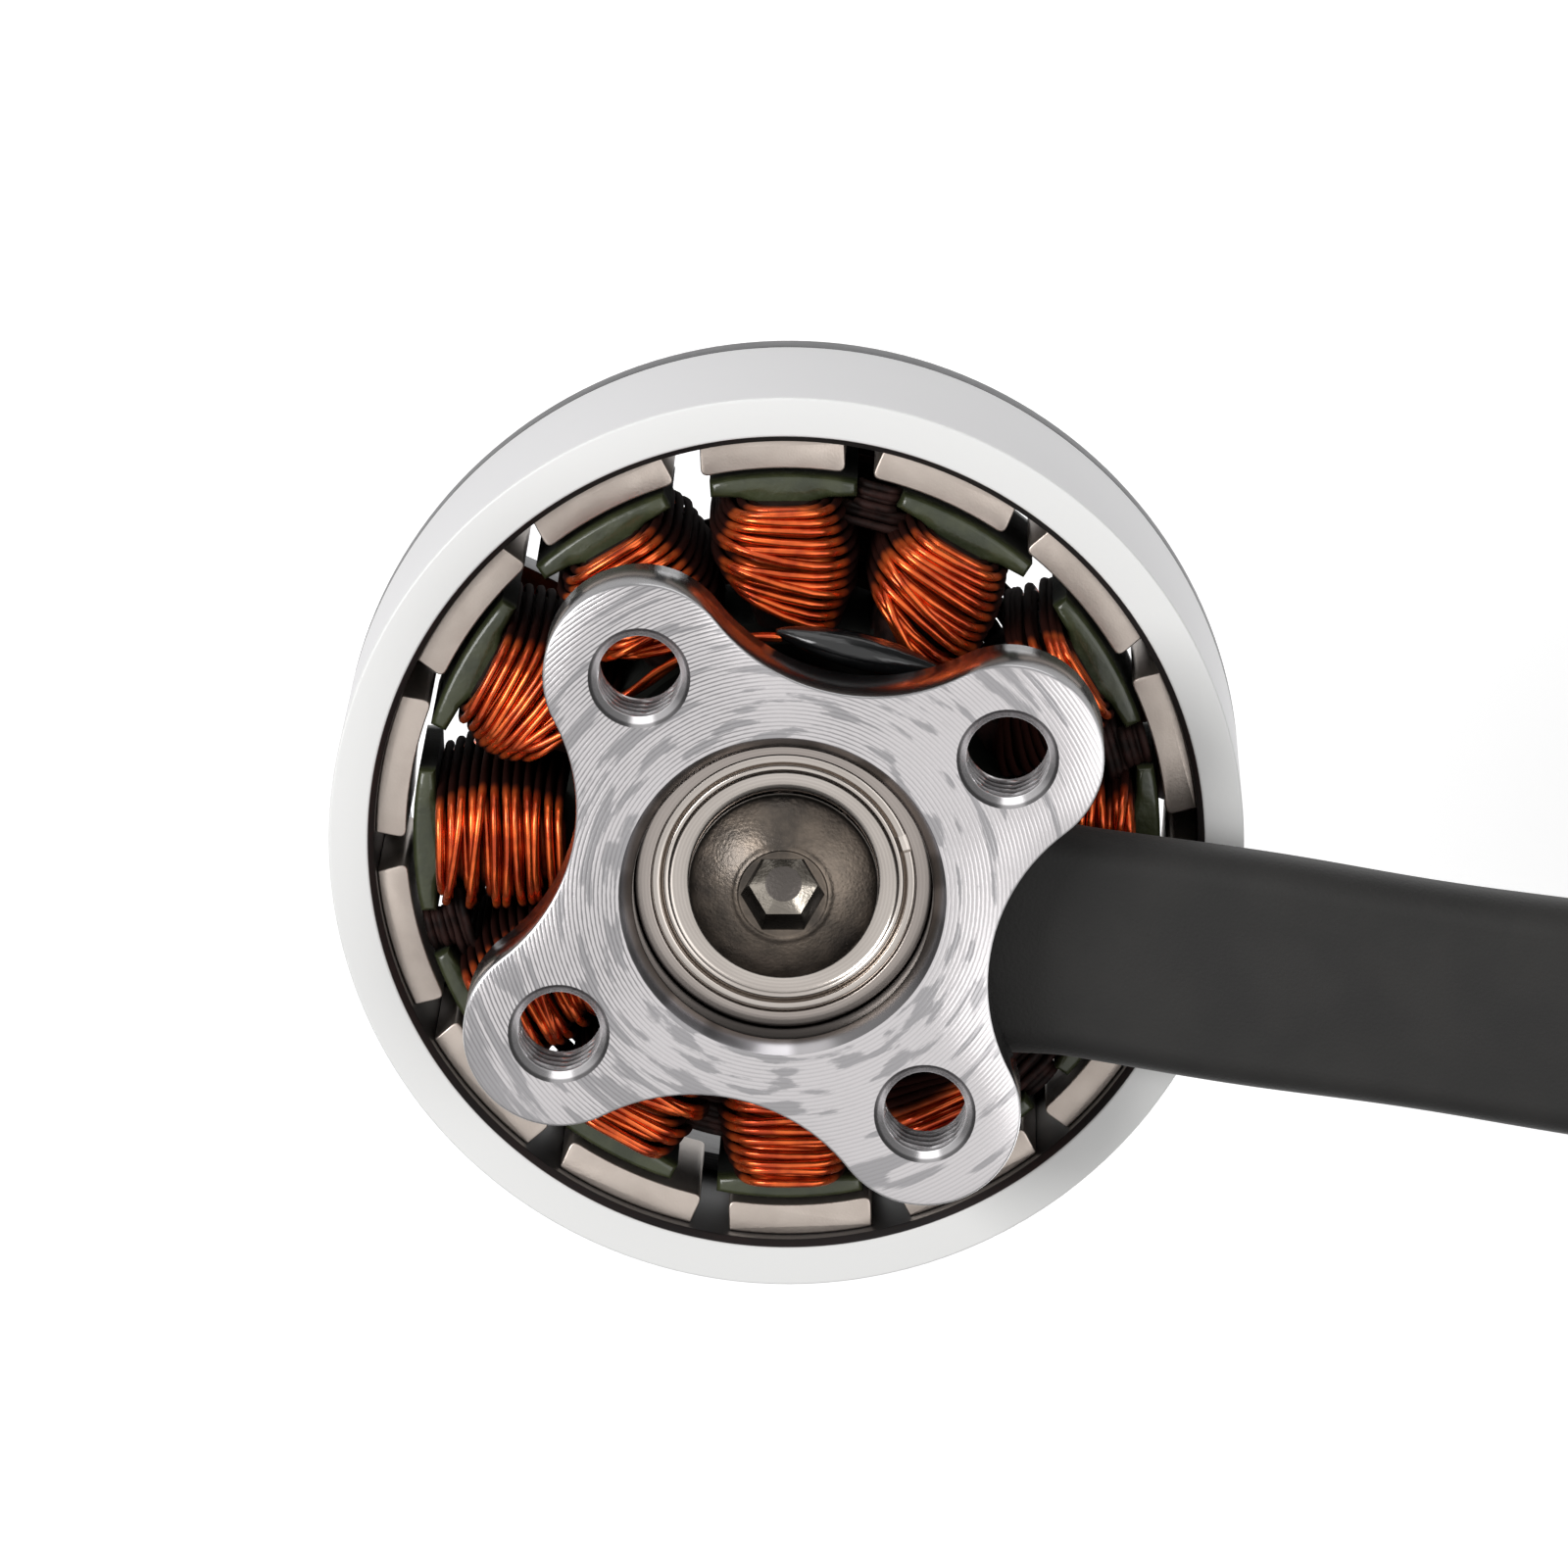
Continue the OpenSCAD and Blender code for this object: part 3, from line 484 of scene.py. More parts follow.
# Coils: one length of enamelled copper wire on each tooth, wound out, back and out again in three layers.
# The last layer leans and crosses itself near the hub. Under the layers that show lies a plain block of turns,
# painted near black as the shade between the wires.
wire_d = 0.265
layer_rise = 0.3
layer_turns = (12, 12, 12)
turn_steps = 36
coil_in_r = 6.9
coil_out_r = 10.54
coil_half_h = 4.32
coil_half_w = 1.66
coil_belly = 0.46
coil_fans = (0.7, 1.7, 0.4, -0.8, 0.8, -0.2, 1.4, 1.0, 1.25, 1.5, 2.2, 0.8)
block_drop = len(layer_turns) * layer_rise - 0.2
block_rings, block_sides = 9, 28
# Painted shade on the copper: deep in the slots, and near the hub on these coils.
slot_shade_h = (3.45, 4.24)
hub_shaded_coils = (1, 10)
hub_shade_r = 9.1


def turn_point(w, h, share):
    """A point of one turn, seen along the tooth: an upright oblong with full, round ends."""
    t = math.pi / 2 + 2 * math.pi * share
    across, along = math.cos(t), math.sin(t)
    return w * math.copysign(math.sqrt(abs(across)), across), h * math.copysign(math.sqrt(abs(along)), along)


def wound_wire(seed, fan):
    """The wire's points on one tooth that lies along X, its middle at the origin."""
    dice = random.Random(seed)
    points = []
    for layer, turns in enumerate(layer_turns):
        drop = (len(layer_turns) - 1 - layer) * layer_rise
        crossing = () if drop else dice.sample(range(2, turns), 2)
        for i in sorted(range(turns), reverse=layer % 2 == 1):
            s = i / (turns - 1)
            middle = coil_out_r - s * (coil_out_r - coil_in_r)
            slant = fan * s**1.4 + dice.uniform(-0.16, 0.16) + (dice.choice((-0.5, 0.5)) if i in crossing else 0)
            bow = dice.uniform(-0.1, 0.1)
            lift = dice.uniform(0, 0.07) + (0.12 if i in crossing else 0)
            w = coil_half_w + coil_belly * math.sin(math.pi * s) - drop + lift / 2
            for k in range(turn_steps):
                x, z = turn_point(1, 1, k / turn_steps)
                r = middle + slant * ((1 - x) / 2)**1.6 + bow * (1 - x * x)
                r = min(max(r, coil_in_r - 0.05), coil_out_r + 0.02)
                points.append((r, w * x, (coil_half_h - drop + lift) * z))
    return points


def enamelled_copper(name, dark_r):
    """Copper under clear orange enamel, with painted shade deep in the slots and within dark_r of the axis."""
    material, tree, surface = shader(name, Specular_IOR_Level=0.05)
    slot_shade = put(tree, "ShaderNodeGroup", {"Low": slot_shade_h[0], "High": slot_shade_h[1]}, node_tree=slots)
    hub_shade = between(radius_of(tree), (dark_r + 0.3) * mm, (dark_r - 0.3) * mm)
    inside = sums("MAXIMUM", slot_shade.outputs["Inside"], hub_shade)
    tint = between(speckle(tree, 1400, 2), 0.3, 0.7)
    enamel = blended(tint, (0.44, 0.052, 0.013), (0.82, 0.148, 0.03))
    driven(surface, Base_Color=blended(inside, enamel, (0.02, 0.0055, 0.004)),
           Metallic=scaled(inside, -0.88, 0.88), Roughness=scaled(inside, 0.6, 0.24),
           Coat_Weight=scaled(inside, -0.3, 0.3))
    return material


def mottled(name, clouds, spread, low, high, grain, depth, rough=None, **values):
    """A material whose colour runs from low to high in clouds, over a fine grain."""
    material, tree, surface = shader(name, **values)
    share, fine = speckle(tree, *clouds), speckle(tree, *grain)
    if spread:
        share = between(share, *spread)
    driven(surface, Base_Color=blended(share, low, high))
    if rough:
        driven(surface, Roughness=scaled(fine, *rough))
    bumped(surface, fine, depth)
    return material


def wire_piece(name, routes, thickness, material, sides=2):
    """A round wire or cord on the stator through each list of points, as one curve."""
    curve = bpy.data.curves.new(name, "CURVE")
    curve.dimensions = "3D"
    curve.bevel_depth = thickness / 2 * mm
    curve.bevel_resolution = sides
    curve.use_fill_caps = True
    for route in routes:
        spline = curve.splines.new("POLY")
        spline.points.add(len(route) - 1)
        for point, (x, y, z) in zip(spline.points, route):
            point.co = (x * mm, y * mm, z * mm, 1)
    curve.materials.append(material)
    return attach(placed(name, curve), "stator")


copper, hub_shaded_copper = enamelled_copper("enamelled_copper", 0), enamelled_copper("copper_with_hub_shade", hub_shade_r)
# Painted shade: a near-black wire for the inner turns and the linking wires.
wire_shade_dark = mottled("wire_painted_shade", (1800, 3), (0.35, 0.65), (0.006, 0.003, 0.0025), (0.03, 0.013, 0.011),
                    (1800, 3), 0.03, Roughness=0.6, Specular_IOR_Level=0.12)
for k in range(slot_count):
    name = f"coil_{k + 1:02d}"
    to_tooth = Matrix.Translation((0, 0, stack_mid)) @ z_turn(stator_turn + slot_step * k)
    route = [to_tooth @ Vector(p) for p in wound_wire(k + 1, coil_fans[k])]
    wire = wire_piece(f"{name}_wire", [route], wire_d, hub_shaded_copper if k in hub_shaded_coils else copper)
    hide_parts(name)
    bm = bmesh.new()
    rings = []
    for i in range(block_rings):
        s = i / (block_rings - 1)
        r = coil_out_r + 0.1 - s * (coil_out_r - coil_in_r + 0.2)
        half_w = coil_half_w + coil_belly * math.sin(math.pi * s) - block_drop
        section = [turn_point(half_w, coil_half_h - block_drop, n / block_sides) for n in range(block_sides)]
        rings.append(ring_of(bm, [to_tooth @ Vector((r, w, h)) for w, h in section]))
    skin(bm, *rings)
    capped(bm, rings[0], rings[-1])
    finish(bm, f"{name}_inner_turns", "stator", wire_shade_dark, [name])


# Linking wires: the copper wire runs on from coil to coil at the far end of the stack, in bundles painted dark as
# the shade they lie in. On the near side three free ends cross the coils to the star joint.
link_z = stack_z + stack_h + 0.35
link_r = (7.3, 11.3)
link_pitch = 0.19
link_gaps = {5: 9.5, 6: 9.5, 7: 9.2, 9: 9.5}
near_links = {0: (8.4, 15), 2: (8.5, 7)}
near_link = (10.2, 7)
link_steps = 5
dice = random.Random(40)
links = []
for k in range(slot_count):
    middle = stator_turn + slot_step * (k + 0.5)
    count = round((link_gaps.get(k, link_r[1]) - link_r[0]) / link_pitch)
    arcs = [(link_r[0] + link_pitch * n + dice.uniform(-0.06, 0.06), link_z + dice.uniform(-0.35, 0.25), 8.5, 1.6)
            for n in range(count)]
    if k not in link_gaps:
        first, near_count = near_links.get(k, near_link)
        for n in range(near_count):
            r = first + link_pitch * n
            arcs.append((r, stack_z + dice.uniform(0.15, 0.6), 5.5 if r < 10.7 else 3.0, -0.3))
    for r, z, half, droop in arcs:
        sag = dice.uniform(0.0, 0.15) if half > 8 else 0
        route = []
        for i in range(-link_steps, link_steps + 1):
            a = math.radians(middle + half * i / link_steps)
            out = r - sag * (1 - (i / link_steps)**2)
            route.append((*polar(out, a), z - droop * abs(i / link_steps)**4))
        links.append(route)
wire_piece("linking_wires", links, wire_d, wire_shade_dark)

free_end = [Vector(p) for p in (
    (-6.9, -2.6, 7.4), (-6.6, -3.0, 5.6), (-5.57, -4.04, 5.05), (-4.58, -5.2, 4.9), (-3.4, -6.15, 4.6),
    (-2.5, -6.6, 4.25), (-1.6, -6.85, 4.1))]


def smooth_route(knots, count):
    """Points on a smooth line through the knots, each with its number."""
    for i in range(count + 1):
        u = i / count * (len(knots) - 1)
        n = min(int(u), len(knots) - 2)
        before, after = knots[max(n - 1, 0)], knots[min(n + 2, len(knots) - 1)]
        a, b, t = knots[n], knots[n + 1], u - n
        yield i, 0.5 * (2 * a + (b - before) * t + (2 * before - 5 * a + 4 * b - after) * t**2
                        + (3 * a - before - 3 * b + after) * t**3)


free_ends = []
for side in (-1, 0, 1):
    route = []
    for i, at in smooth_route(free_end, 48):
        spread = side * 0.34 * math.sin(math.pi * min(i / 40, 1))
        route.append(at + Vector((0.75, -0.65, 0)) * spread + Vector((0, 0, 0.14 * (side == 0))))
    free_ends.append(route)
wire_piece("star_wires", free_ends, wire_d, copper)


# Bearings: one at each end of the tube, each with ground steel rings, a pressed cage with seven balls,
# and two pressed shields that are held by split snap rings. The balls and cages keep their CAD shape.
race_out_r = 4.5
race_in_r = 3.85
shield_seat_r = 4.0
shield_seat_h = 0.36
inner_race_r = 2.7
inner_bore_r = 2.01
snap_in_r, snap_out_r = 3.75, 3.98
snap_t = 0.16
snap_in = 0.1
snap_turn = -31
snap_gap = 8
shield_section = [
    (3.99, 0.27), (3.72, 0.27), (3.67, 0.205), (3.62, 0.165), (3.56, 0.15), (3.5, 0.165), (3.44, 0.205),
    (3.37, 0.235), (2.88, 0.22), (2.82, 0.26), (2.82, 0.34), (3.43, 0.34), (3.5, 0.28), (3.56, 0.26),
    (3.62, 0.29), (3.65, 0.35), (3.99, 0.35)]


def turned_piece(name, outline, body, material, replaces=(), steps=160, z=0):
    """A closed outline of (radius, height) points, raised by z and spun once round the shaft's axis."""
    bm = bmesh.new()
    spun(bm, [(r, z + h) for r, h in outline], steps, closed=True)
    bmesh.ops.remove_doubles(bm, verts=bm.verts, dist=1e-7)
    return finish(bm, name, body, material, replaces)


def turned_steel(name, low, high, roughness, ways=(0.11, 0.02, 1.2, 2.0), ringed=0.2, depth=0.0004):
    """Its colour follows the patches where the tool marks catch the light, a painted sheen, and, by the share
    ringed, their rings.
    """
    material, tree, surface = shader(name, Metallic=1.0, Roughness=roughness)
    marks = marks_on(tree, *ways)
    share = scaled(marks["Rings"], ringed, sums("MULTIPLY", marks["Patches"], 1 - ringed))
    driven(surface, Base_Color=blended(share, low, high))
    bumped(surface, marks["Rings"], depth)
    return material


def snap_ring(name, z, replaces):
    bm = bmesh.new()
    section = rounded(oblong(snap_in_r, snap_out_r, z, z + snap_t), 0.05, 2)
    verts = [bm.verts.new((r * mm, 0, y * mm)) for r, y in section]
    face = bm.faces.new(verts)
    turn_by(bm, verts, snap_turn + snap_gap / 2)
    bmesh.ops.spin(bm, geom=[face, *verts, *face.edges], cent=(0, 0, 0), axis=(0, 0, 1),
                   angle=math.radians(360 - snap_gap), steps=120, use_duplicate=False)
    finish(bm, name, "stator", shield_steel, replaces)


ring_steel = turned_steel("ring_steel", (0.29, 0.255, 0.235), (0.42, 0.375, 0.345), 0.24)
shield_steel = turned_steel("shield_steel", (0.38, 0.34, 0.31), (0.62, 0.57, 0.525), 0.2)
cage_steel = turned_steel("cage_steel", (0.35, 0.33, 0.3), (0.5, 0.47, 0.44), 0.35)
for where, z in bearing_z.items():
    near_seat = [(race_in_r, shield_seat_h), (shield_seat_r, shield_seat_h), (shield_seat_r + 0.02, 0),
                 (race_out_r, 0)]
    outer = rounded(near_seat[2:] + [(r, bearing_w - h) for r, h in near_seat[::-1]] + near_seat[:2],
                    (0.03, 0.11, 0.11, 0.03, 0, 0.05, 0.05, 0))
    inner = rounded(oblong(inner_bore_r, inner_race_r, 0, bearing_w), 0.1)
    for part, outline, body in (("outer", outer, "stator"), ("inner", inner, "rotor")):
        turned_piece(f"{where}_{part}_race", outline, body, ring_steel, [f"{where}_{part}_ring"], z=z)
    far_section = [(r, bearing_w - h) for r, h in shield_section]
    for side, outline in (("near", shield_section), ("far", far_section)):
        pressed = rounded(outline, 0.025, 2)
        turned_piece(f"{where}_{side}_shield", pressed, "stator", shield_steel, [f"{where}_shields"], z=z)
    for side, h in (("near", snap_in), ("far", bearing_w - snap_in - snap_t)):
        snap_ring(f"{where}_{side}_snap_ring", z + h, [f"{where}_snap_rings"])
    for part, steel in (("cage", cage_steel), ("balls", ring_steel)):
        mesh = frame["nodes"][f"{where}_{part}"].data
        mesh.materials.clear()
        mesh.materials.append(steel)


# Star joint: the three phases are soldered together here, under a short shrunk tube that lies beside the hub.
star_turn = -83.8
star_lean = 5
star_l = 5.2
star_r = 0.75
star_thin = 0.55
star_z = 4.1
star_rings, star_sides = 27, 32

material, tree, surface = shader("shrunk_tube", Base_Color=(0.006, 0.0065, 0.007), Coat_Weight=0.3,
                                 Coat_Roughness=0.06)
stretch = put(tree, "ShaderNodeMapping", {"Vector": own_place(tree), "Scale": (500, 2200, 2200)}).outputs[0]
folds = speckle(tree, 1, 3, place=stretch)
driven(surface, Roughness=scaled(folds, 0.2, 0.06))
bumped(surface, folds, 0.05)

bm = bmesh.new()
loops = []
for i in range(star_rings):
    s = -1 + 2 * i / (star_rings - 1)
    full = 0.1 + 0.9 * (1 - abs(s)**1.9)**0.8
    loops.append(ring_of(bm, [(s * star_l / 2, star_thin * y, star_r * z)
                              for y, z in circle_points(full, star_sides)]))
skin(bm, *loops)
capped(bm, loops[0], loops[-1])
beside_hub = Matrix.Translation(Vector((hub_r + 0.25 + star_thin, 0, star_z)) * mm)
bmesh.ops.transform(bm, matrix=z_turn(star_turn) @ beside_hub @ z_turn(90 - star_lean), verts=bm.verts)
finish(bm, "star_joint_tube", "stator", material, ["star_joint"], smooth=60)


# Phase tails: three bundles of bare wires come down from under the coils and bend out into the sleeve.
lead_turn = -3.8
lead_pivot = Vector((12.35, 0.2, 0))
lead_pitch = 2.25
lead_z = 4.0
tail_x = 6.9
tail_bend = 0.8
tail_top = 5.32
tail_end_l = 1.3
tail_strands = 5
tail_strand_d = 0.24
tail_strand_r = 0.2
tail_steps = 24
on_lead_line = Matrix.Translation(lead_pivot) @ z_turn(lead_turn) @ Matrix.Translation((-lead_pivot.x, 0, 0))


def tail_middle(u):
    """The bundle's middle and its way: down, round the bend and along, for u from 0 to 1."""
    rise = tail_top - lead_z - tail_bend
    arc = math.pi / 2 * tail_bend
    s = u * (rise + arc + tail_end_l)
    if s < rise:
        return Vector((tail_x, 0, tail_top - s)), Vector((0, 0, -1))
    a = min((s - rise) / tail_bend, math.pi / 2)
    at = Vector((tail_x + tail_bend * (1 - math.cos(a)), 0, lead_z + tail_bend * (1 - math.sin(a))))
    way = Vector((math.sin(a), 0, -math.cos(a)))
    return at + way * max(0, s - rise - arc), way


for k, phase in enumerate("abc"):
    strands = []
    for n in range(tail_strands):
        route = []
        for i in range(tail_steps + 1):
            middle, way = tail_middle(i / tail_steps)
            side = Vector((0, 1, 0))
            a = 2 * math.pi * (n / tail_strands + 0.7 * i / tail_steps)
            off = (side * math.cos(a) + way.cross(side) * math.sin(a)) * tail_strand_r
            route.append(on_lead_line @ (middle + side * lead_pitch * (1 - k) + off))
        strands.append(route)
    tail = wire_piece(f"phase_tail_{phase}_strands", strands, tail_strand_d, copper)
    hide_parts(f"phase_tail_{phase}")


# Sleeve: a soft black tube, pressed flat over the three leads where they leave the motor.
sleeve_x0, sleeve_x1 = 7.3, 27.0
sleeve_w, sleeve_h = 7.3, 2.3
sleeve_wall = 0.22
sleeve_end_t = 0.04
sleeve_lip = 0.85
sleeve_stations = 48


def flat_oval(w, h, corner, count=12):
    """The outline of a flat oval, w wide and h high."""
    points = []
    for quarter, (a, b) in enumerate(((1, 1), (-1, 1), (-1, -1), (1, -1))):
        for i in range(count):
            t = math.pi / 2 * (quarter + i / (count - 1))
            points.append(polar(corner, t, a * (w / 2 - corner), b * (h / 2 - corner)))
    return points


cloth = mottled("sleeve_cloth", (420, 4), (0.3, 0.7), (0.008, 0.0075, 0.0069), (0.0132, 0.0123, 0.0113),
                (9000, 2), 0.012, Roughness=0.62, Sheen_Weight=0.1, Specular_IOR_Level=0.35)

# The tube runs out along its outer wall and back along the inner one. Its inner end flares, and has a lip below.
bm = bmesh.new()
loops = []
outer = [sleeve_x0 + (sleeve_x1 - sleeve_x0) * i / sleeve_stations for i in range(sleeve_stations + 1)]
inner = [min(max(x, sleeve_x0 + sleeve_end_t), sleeve_x1 - sleeve_end_t) for x in reversed(outer)]
for x, inset in [(x, 0) for x in outer] + [(x, sleeve_wall) for x in inner]:
    ring = []
    end = max(0, 1 - (x - sleeve_x0) / 1.4)
    flare = max(0, 1 - (x - sleeve_x0 + 1) / 3)**1.5
    high = sleeve_h - 2 * inset
    for y, z in flat_oval(sleeve_w - 2 * inset, high, sleeve_h * 0.45 - inset):
        lip = sleeve_lip * end * min(1, max(0, 0.5 - z / high))
        wave = noise.noise(Vector((x * 0.22, y * 0.3, 2.0 if z > 0 else 5.0)))
        y *= 0.985 + 0.012 * math.sin(x * 0.55) + (0.16 if y > 0 else 0.05) * flare
        z *= 0.96 - 0.05 * end
        ring.append(on_lead_line @ Vector((x - lip, y, lead_z + z + 0.05 * wave)))
    loops.append(ring_of(bm, ring))
skin(bm, *loops, loops[0])
finish(bm, "lead_sleeve_cloth", "stator", cloth, ["lead_sleeve"], smooth=60)


# Leads: three silicone leads, 150 mm long with their tinned ends. They run out of the sleeve, sink to the
# surface and are wound into a small coil, which a band holds together.
lead_d = 1.8
lead_l = 150
tinned_l = 4
tinned_d = 1
tinned_strands = 7
tinned_steps = 16
laid_z = 1.4
lead_start_x = 9.0
lead_sinks = [(13, 0), (17, 0), (21, 0), (25, 0), (29, 0), (30, 0), (31, 2), (32, 10), (33, 28), (34, 50),
              (35, 72), (36, 90), (37, 98), (38, 100), (42, 100), (46, 100)]
coil_x = 48
lead_coil_r = 9.2
climbs = ((215, 330), (575, 575))
climb_over = 83
climb_h = 2.4


def wind_at(r, a, total):
    """A point of a wound lead after a degrees of its turns. A long one climbs over its own first turns."""
    height = 0
    for start, least in climbs:
        u = min(max((a - start) / climb_over, 0), 1)
        height += climb_h * u * u * (3 - 2 * u) if total > least else 0
    turn = math.radians(a)
    return Vector((coil_x + r * math.sin(turn), lead_coil_r - r * math.cos(turn), laid_z + height))


def tinned_copper():
    material, tree, surface = shader("tinned_copper", Metallic=1.0)
    cloud = speckle(tree, 1500, 3)
    driven(surface, Base_Color=blended(cloud, (0.55, 0.55, 0.54), (0.78, 0.78, 0.76)),
           Roughness=scaled(cloud, 0.3, 0.15))
    return material


rubber = mottled("silicone", (700, 5), (0.45, 0.8), (0.014, 0.014, 0.015), (0.04, 0.04, 0.042), (6000, 2), 0.008,
                 Roughness=0.46, Specular_IOR_Level=0.45)
tin = tinned_copper()
for k, phase in enumerate("abc"):
    y = lead_pitch * (1 - k)
    straight = [Vector((lead_start_x, y, lead_z))]
    straight += [Vector((x, y, lead_z - (lead_z - laid_z) * share / 100)) for x, share in lead_sinks]
    used = sum((b - a).length for a, b in zip(straight, straight[1:])) + coil_x - straight[-1].x
    r = lead_coil_r + lead_pitch * (k - 1)
    total = (lead_l - used - lead_d - tinned_l) / (2 * math.pi * r) * 360
    steps = math.ceil(total / 6)
    wound = [wind_at(r, total * i / steps, total) for i in range(steps + 1)]
    way = (wound[-1] - wind_at(r, total - 1, total)) * Vector((1, 1, 0))
    tip = wound[-1] + way.normalized() * lead_d
    route = [on_lead_line @ p for p in straight + wound + [tip]]
    lead = wire_piece(f"lead_{phase}_insulation", [route], lead_d, rubber, sides=5)
    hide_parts(f"lead_{phase}", f"lead_coil_{phase}")
    end, out = on_lead_line @ tip, (on_lead_line.to_3x3() @ way).normalized()
    up = Vector((0, 0, 1))
    twists = []
    for n in range(tinned_strands):
        around = 0 if n == tinned_strands - 1 else tinned_d / 3
        strand = []
        for i in range(tinned_steps + 1):
            a = 2 * math.pi * (n / (tinned_strands - 1) + 0.6 * i / tinned_steps)
            along = out * (tinned_l * i / tinned_steps - 0.3 * (i == 0))
            strand.append(end + along + (out.cross(up) * math.cos(a) + up * math.sin(a)) * around)
        twists.append(strand)
    bare = wire_piece(f"lead_{phase}_tinned_end", twists, tinned_d / 3, tin)
    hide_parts("lead_ends")


# Tie: a flat soft band, moulded in one piece and closed round the coiled leads.
tie_angle = 200
tie_w = 2
tie_t = 0.4
tie_edge = 0.12
tie_wide = 2 * lead_pitch + lead_d + 0.2
tie_high = 2 * lead_d + 0.6 + 0.2

weave = (5000, 2)
band = mottled("soft_band", weave, None, (0.03, 0.03, 0.032), (0.07, 0.07, 0.075), weave, 0.02, Roughness=0.5)

bm = bmesh.new()
half = tie_w / 2
section = [(-half, tie_edge), (-half + tie_edge, 0), (half - tie_edge, 0), (half, tie_edge),
           (half - 0.01, tie_t - tie_edge), (half - tie_edge, tie_t), (-half + tie_edge, tie_t),
           (-half + 0.01, tie_t - tie_edge)]
turn = math.radians(tie_angle)
middle = (coil_x + lead_coil_r * math.sin(turn), lead_coil_r - lead_coil_r * math.cos(turn), tie_t + tie_high / 2)
place = on_lead_line @ Matrix.Translation(middle) @ z_turn(tie_angle - 90) @ Matrix.Rotation(math.pi / 2, 4, "X")
loops = []
for along, out in section:
    oval = flat_oval(tie_wide + 2 * out, tie_high + 2 * out, tie_t + out, 10)
    loops.append(ring_of(bm, [place @ Vector((x, y, along)) for x, y in oval]))
skin(bm, *loops, loops[0])
tie = finish(bm, "lead_tie_band", "stator", band, ["lead_tie"], smooth=50)


# Bell: the rotor's top, turned from aluminium and anodised dark. Five spokes join the hub to the rim, whose
# spigot is pressed into the steel ring.
bell_r = 14
ring_r = 12.6
ring_top = 13.6
rim_top = 14.8
spigot_r = 12.59
spigot_h = 0.55
window_r = 12
hub_top_r = 7
hub_top = 17.5
hub_under = 15.25
seat_r = 6.5
seat_z = 17.6
spoke_turn = -17.8
spoke_count = 5
spoke_step = 360 / spoke_count
spoke_w = 3.1
window_steps = 18
window_corner = 0.5

material, tree, surface = shader("dark_anodised", Metallic=0.3, Specular_IOR_Level=0.3)
marks = marks_on(tree, 0.09, 0.02, 1.5, 1.0)
# Painted sheen: the colour follows the patches where the turning marks catch the light.
driven(surface, Base_Color=blended(marks["Patches"], (0.016, 0.016, 0.018), (0.042, 0.042, 0.047)),
       Roughness=scaled(marks["Fine"], 0.16, 0.24))
bumped(surface, marks["Rings"], 0.003)


def window_outline(k):
    """One window between two spokes, its corners eased."""
    points = []
    for r, order in ((window_r, 1), (hub_top_r, -1)):
        clear = math.degrees(math.asin(spoke_w / 2 / r))
        a0, a1 = spoke_turn + spoke_step * k + clear, spoke_turn + spoke_step * (k + 1) - clear
        arc = [polar(r, math.radians(a0 + (a1 - a0) * i / window_steps)) for i in range(window_steps + 1)]
        points += arc[::order]
    corners = (0, window_steps, window_steps + 1, len(points) - 1)
    return rounded(points, [window_corner if i in corners else 0 for i in range(len(points))], 5)


outline = [
    (2.66, 14.8, 0), (2.66, hub_under, 0), (hub_r, hub_under, 0), (9.8, hub_under, 0.8), (11.3, 14.6, 0.4),
    (window_r, ring_top, 0), (window_r, ring_top - spigot_h, 0.05), (spigot_r, ring_top - spigot_h, 0.1),
    (spigot_r, ring_top, 0), (bell_r, ring_top, 0.06), (bell_r, rim_top, 0.3), (12.8, rim_top, 0.3),
    (11.9, 15.6, 0.5), (10.3, 16.5, 0.8), (8.8, 17.1, 0.8), (7.5, hub_top, 0.15), (seat_r, hub_top, 0),
    (seat_r, seat_z, 0.06), (2.51, seat_z, 0), (2.31, 17.4, 0), (2.31, 15, 0), (2.01, 15, 0), (2.01, 14.8, 0)]
rim = rounded([p[:2] for p in outline], [p[2] for p in outline])
bell = turned_piece("bell_top", rim, "rotor", material, ["bell"], steps=180)

bm = bmesh.new()
for k in range(spoke_count):
    prism(bm, window_outline(k), 6, 19)
cutter = finish(bm, "window_cutter", "rotor", bell.data.materials[0])
cut = bell.modifiers.new("windows", "BOOLEAN")
cut.object, cut.operation, cut.solver = cutter, "DIFFERENCE", "EXACT"
ease = bell.modifiers.new("edges", "BEVEL")
ease.width, ease.segments, ease.limit_method, ease.angle_limit = 0.14 * mm, 3, "ANGLE", math.radians(50)
bpy.context.view_layer.update()
shaped = bpy.data.meshes.new_from_object(bell.evaluated_get(bpy.context.evaluated_depsgraph_get()))
bell.modifiers.clear()
bell.data = shaped
shaped.set_sharp_from_angle(angle=math.radians(30))
bpy.data.objects.remove(cutter)


# Flux ring: a steel tube with a pale coating, its lower lip turned bright. The magnets are glued inside it.
lip_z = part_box("flux_ring")[0].z / mm
lip_in_r = 12.83
lip_h = 0.23

material, tree, surface = shader("pale_coating", Roughness=0.38, Coat_Weight=0.15, Coat_Roughness=0.3)
tone = blended(speckle(tree, 160, 2), (0.75, 0.742, 0.752), (0.785, 0.777, 0.786))
wall = between(z_of(own_place(tree)), (lip_z + 0.02) * mm, (lip_z + 0.12) * mm)
outside = blended(wall, (0.825, 0.825, 0.815), tone)
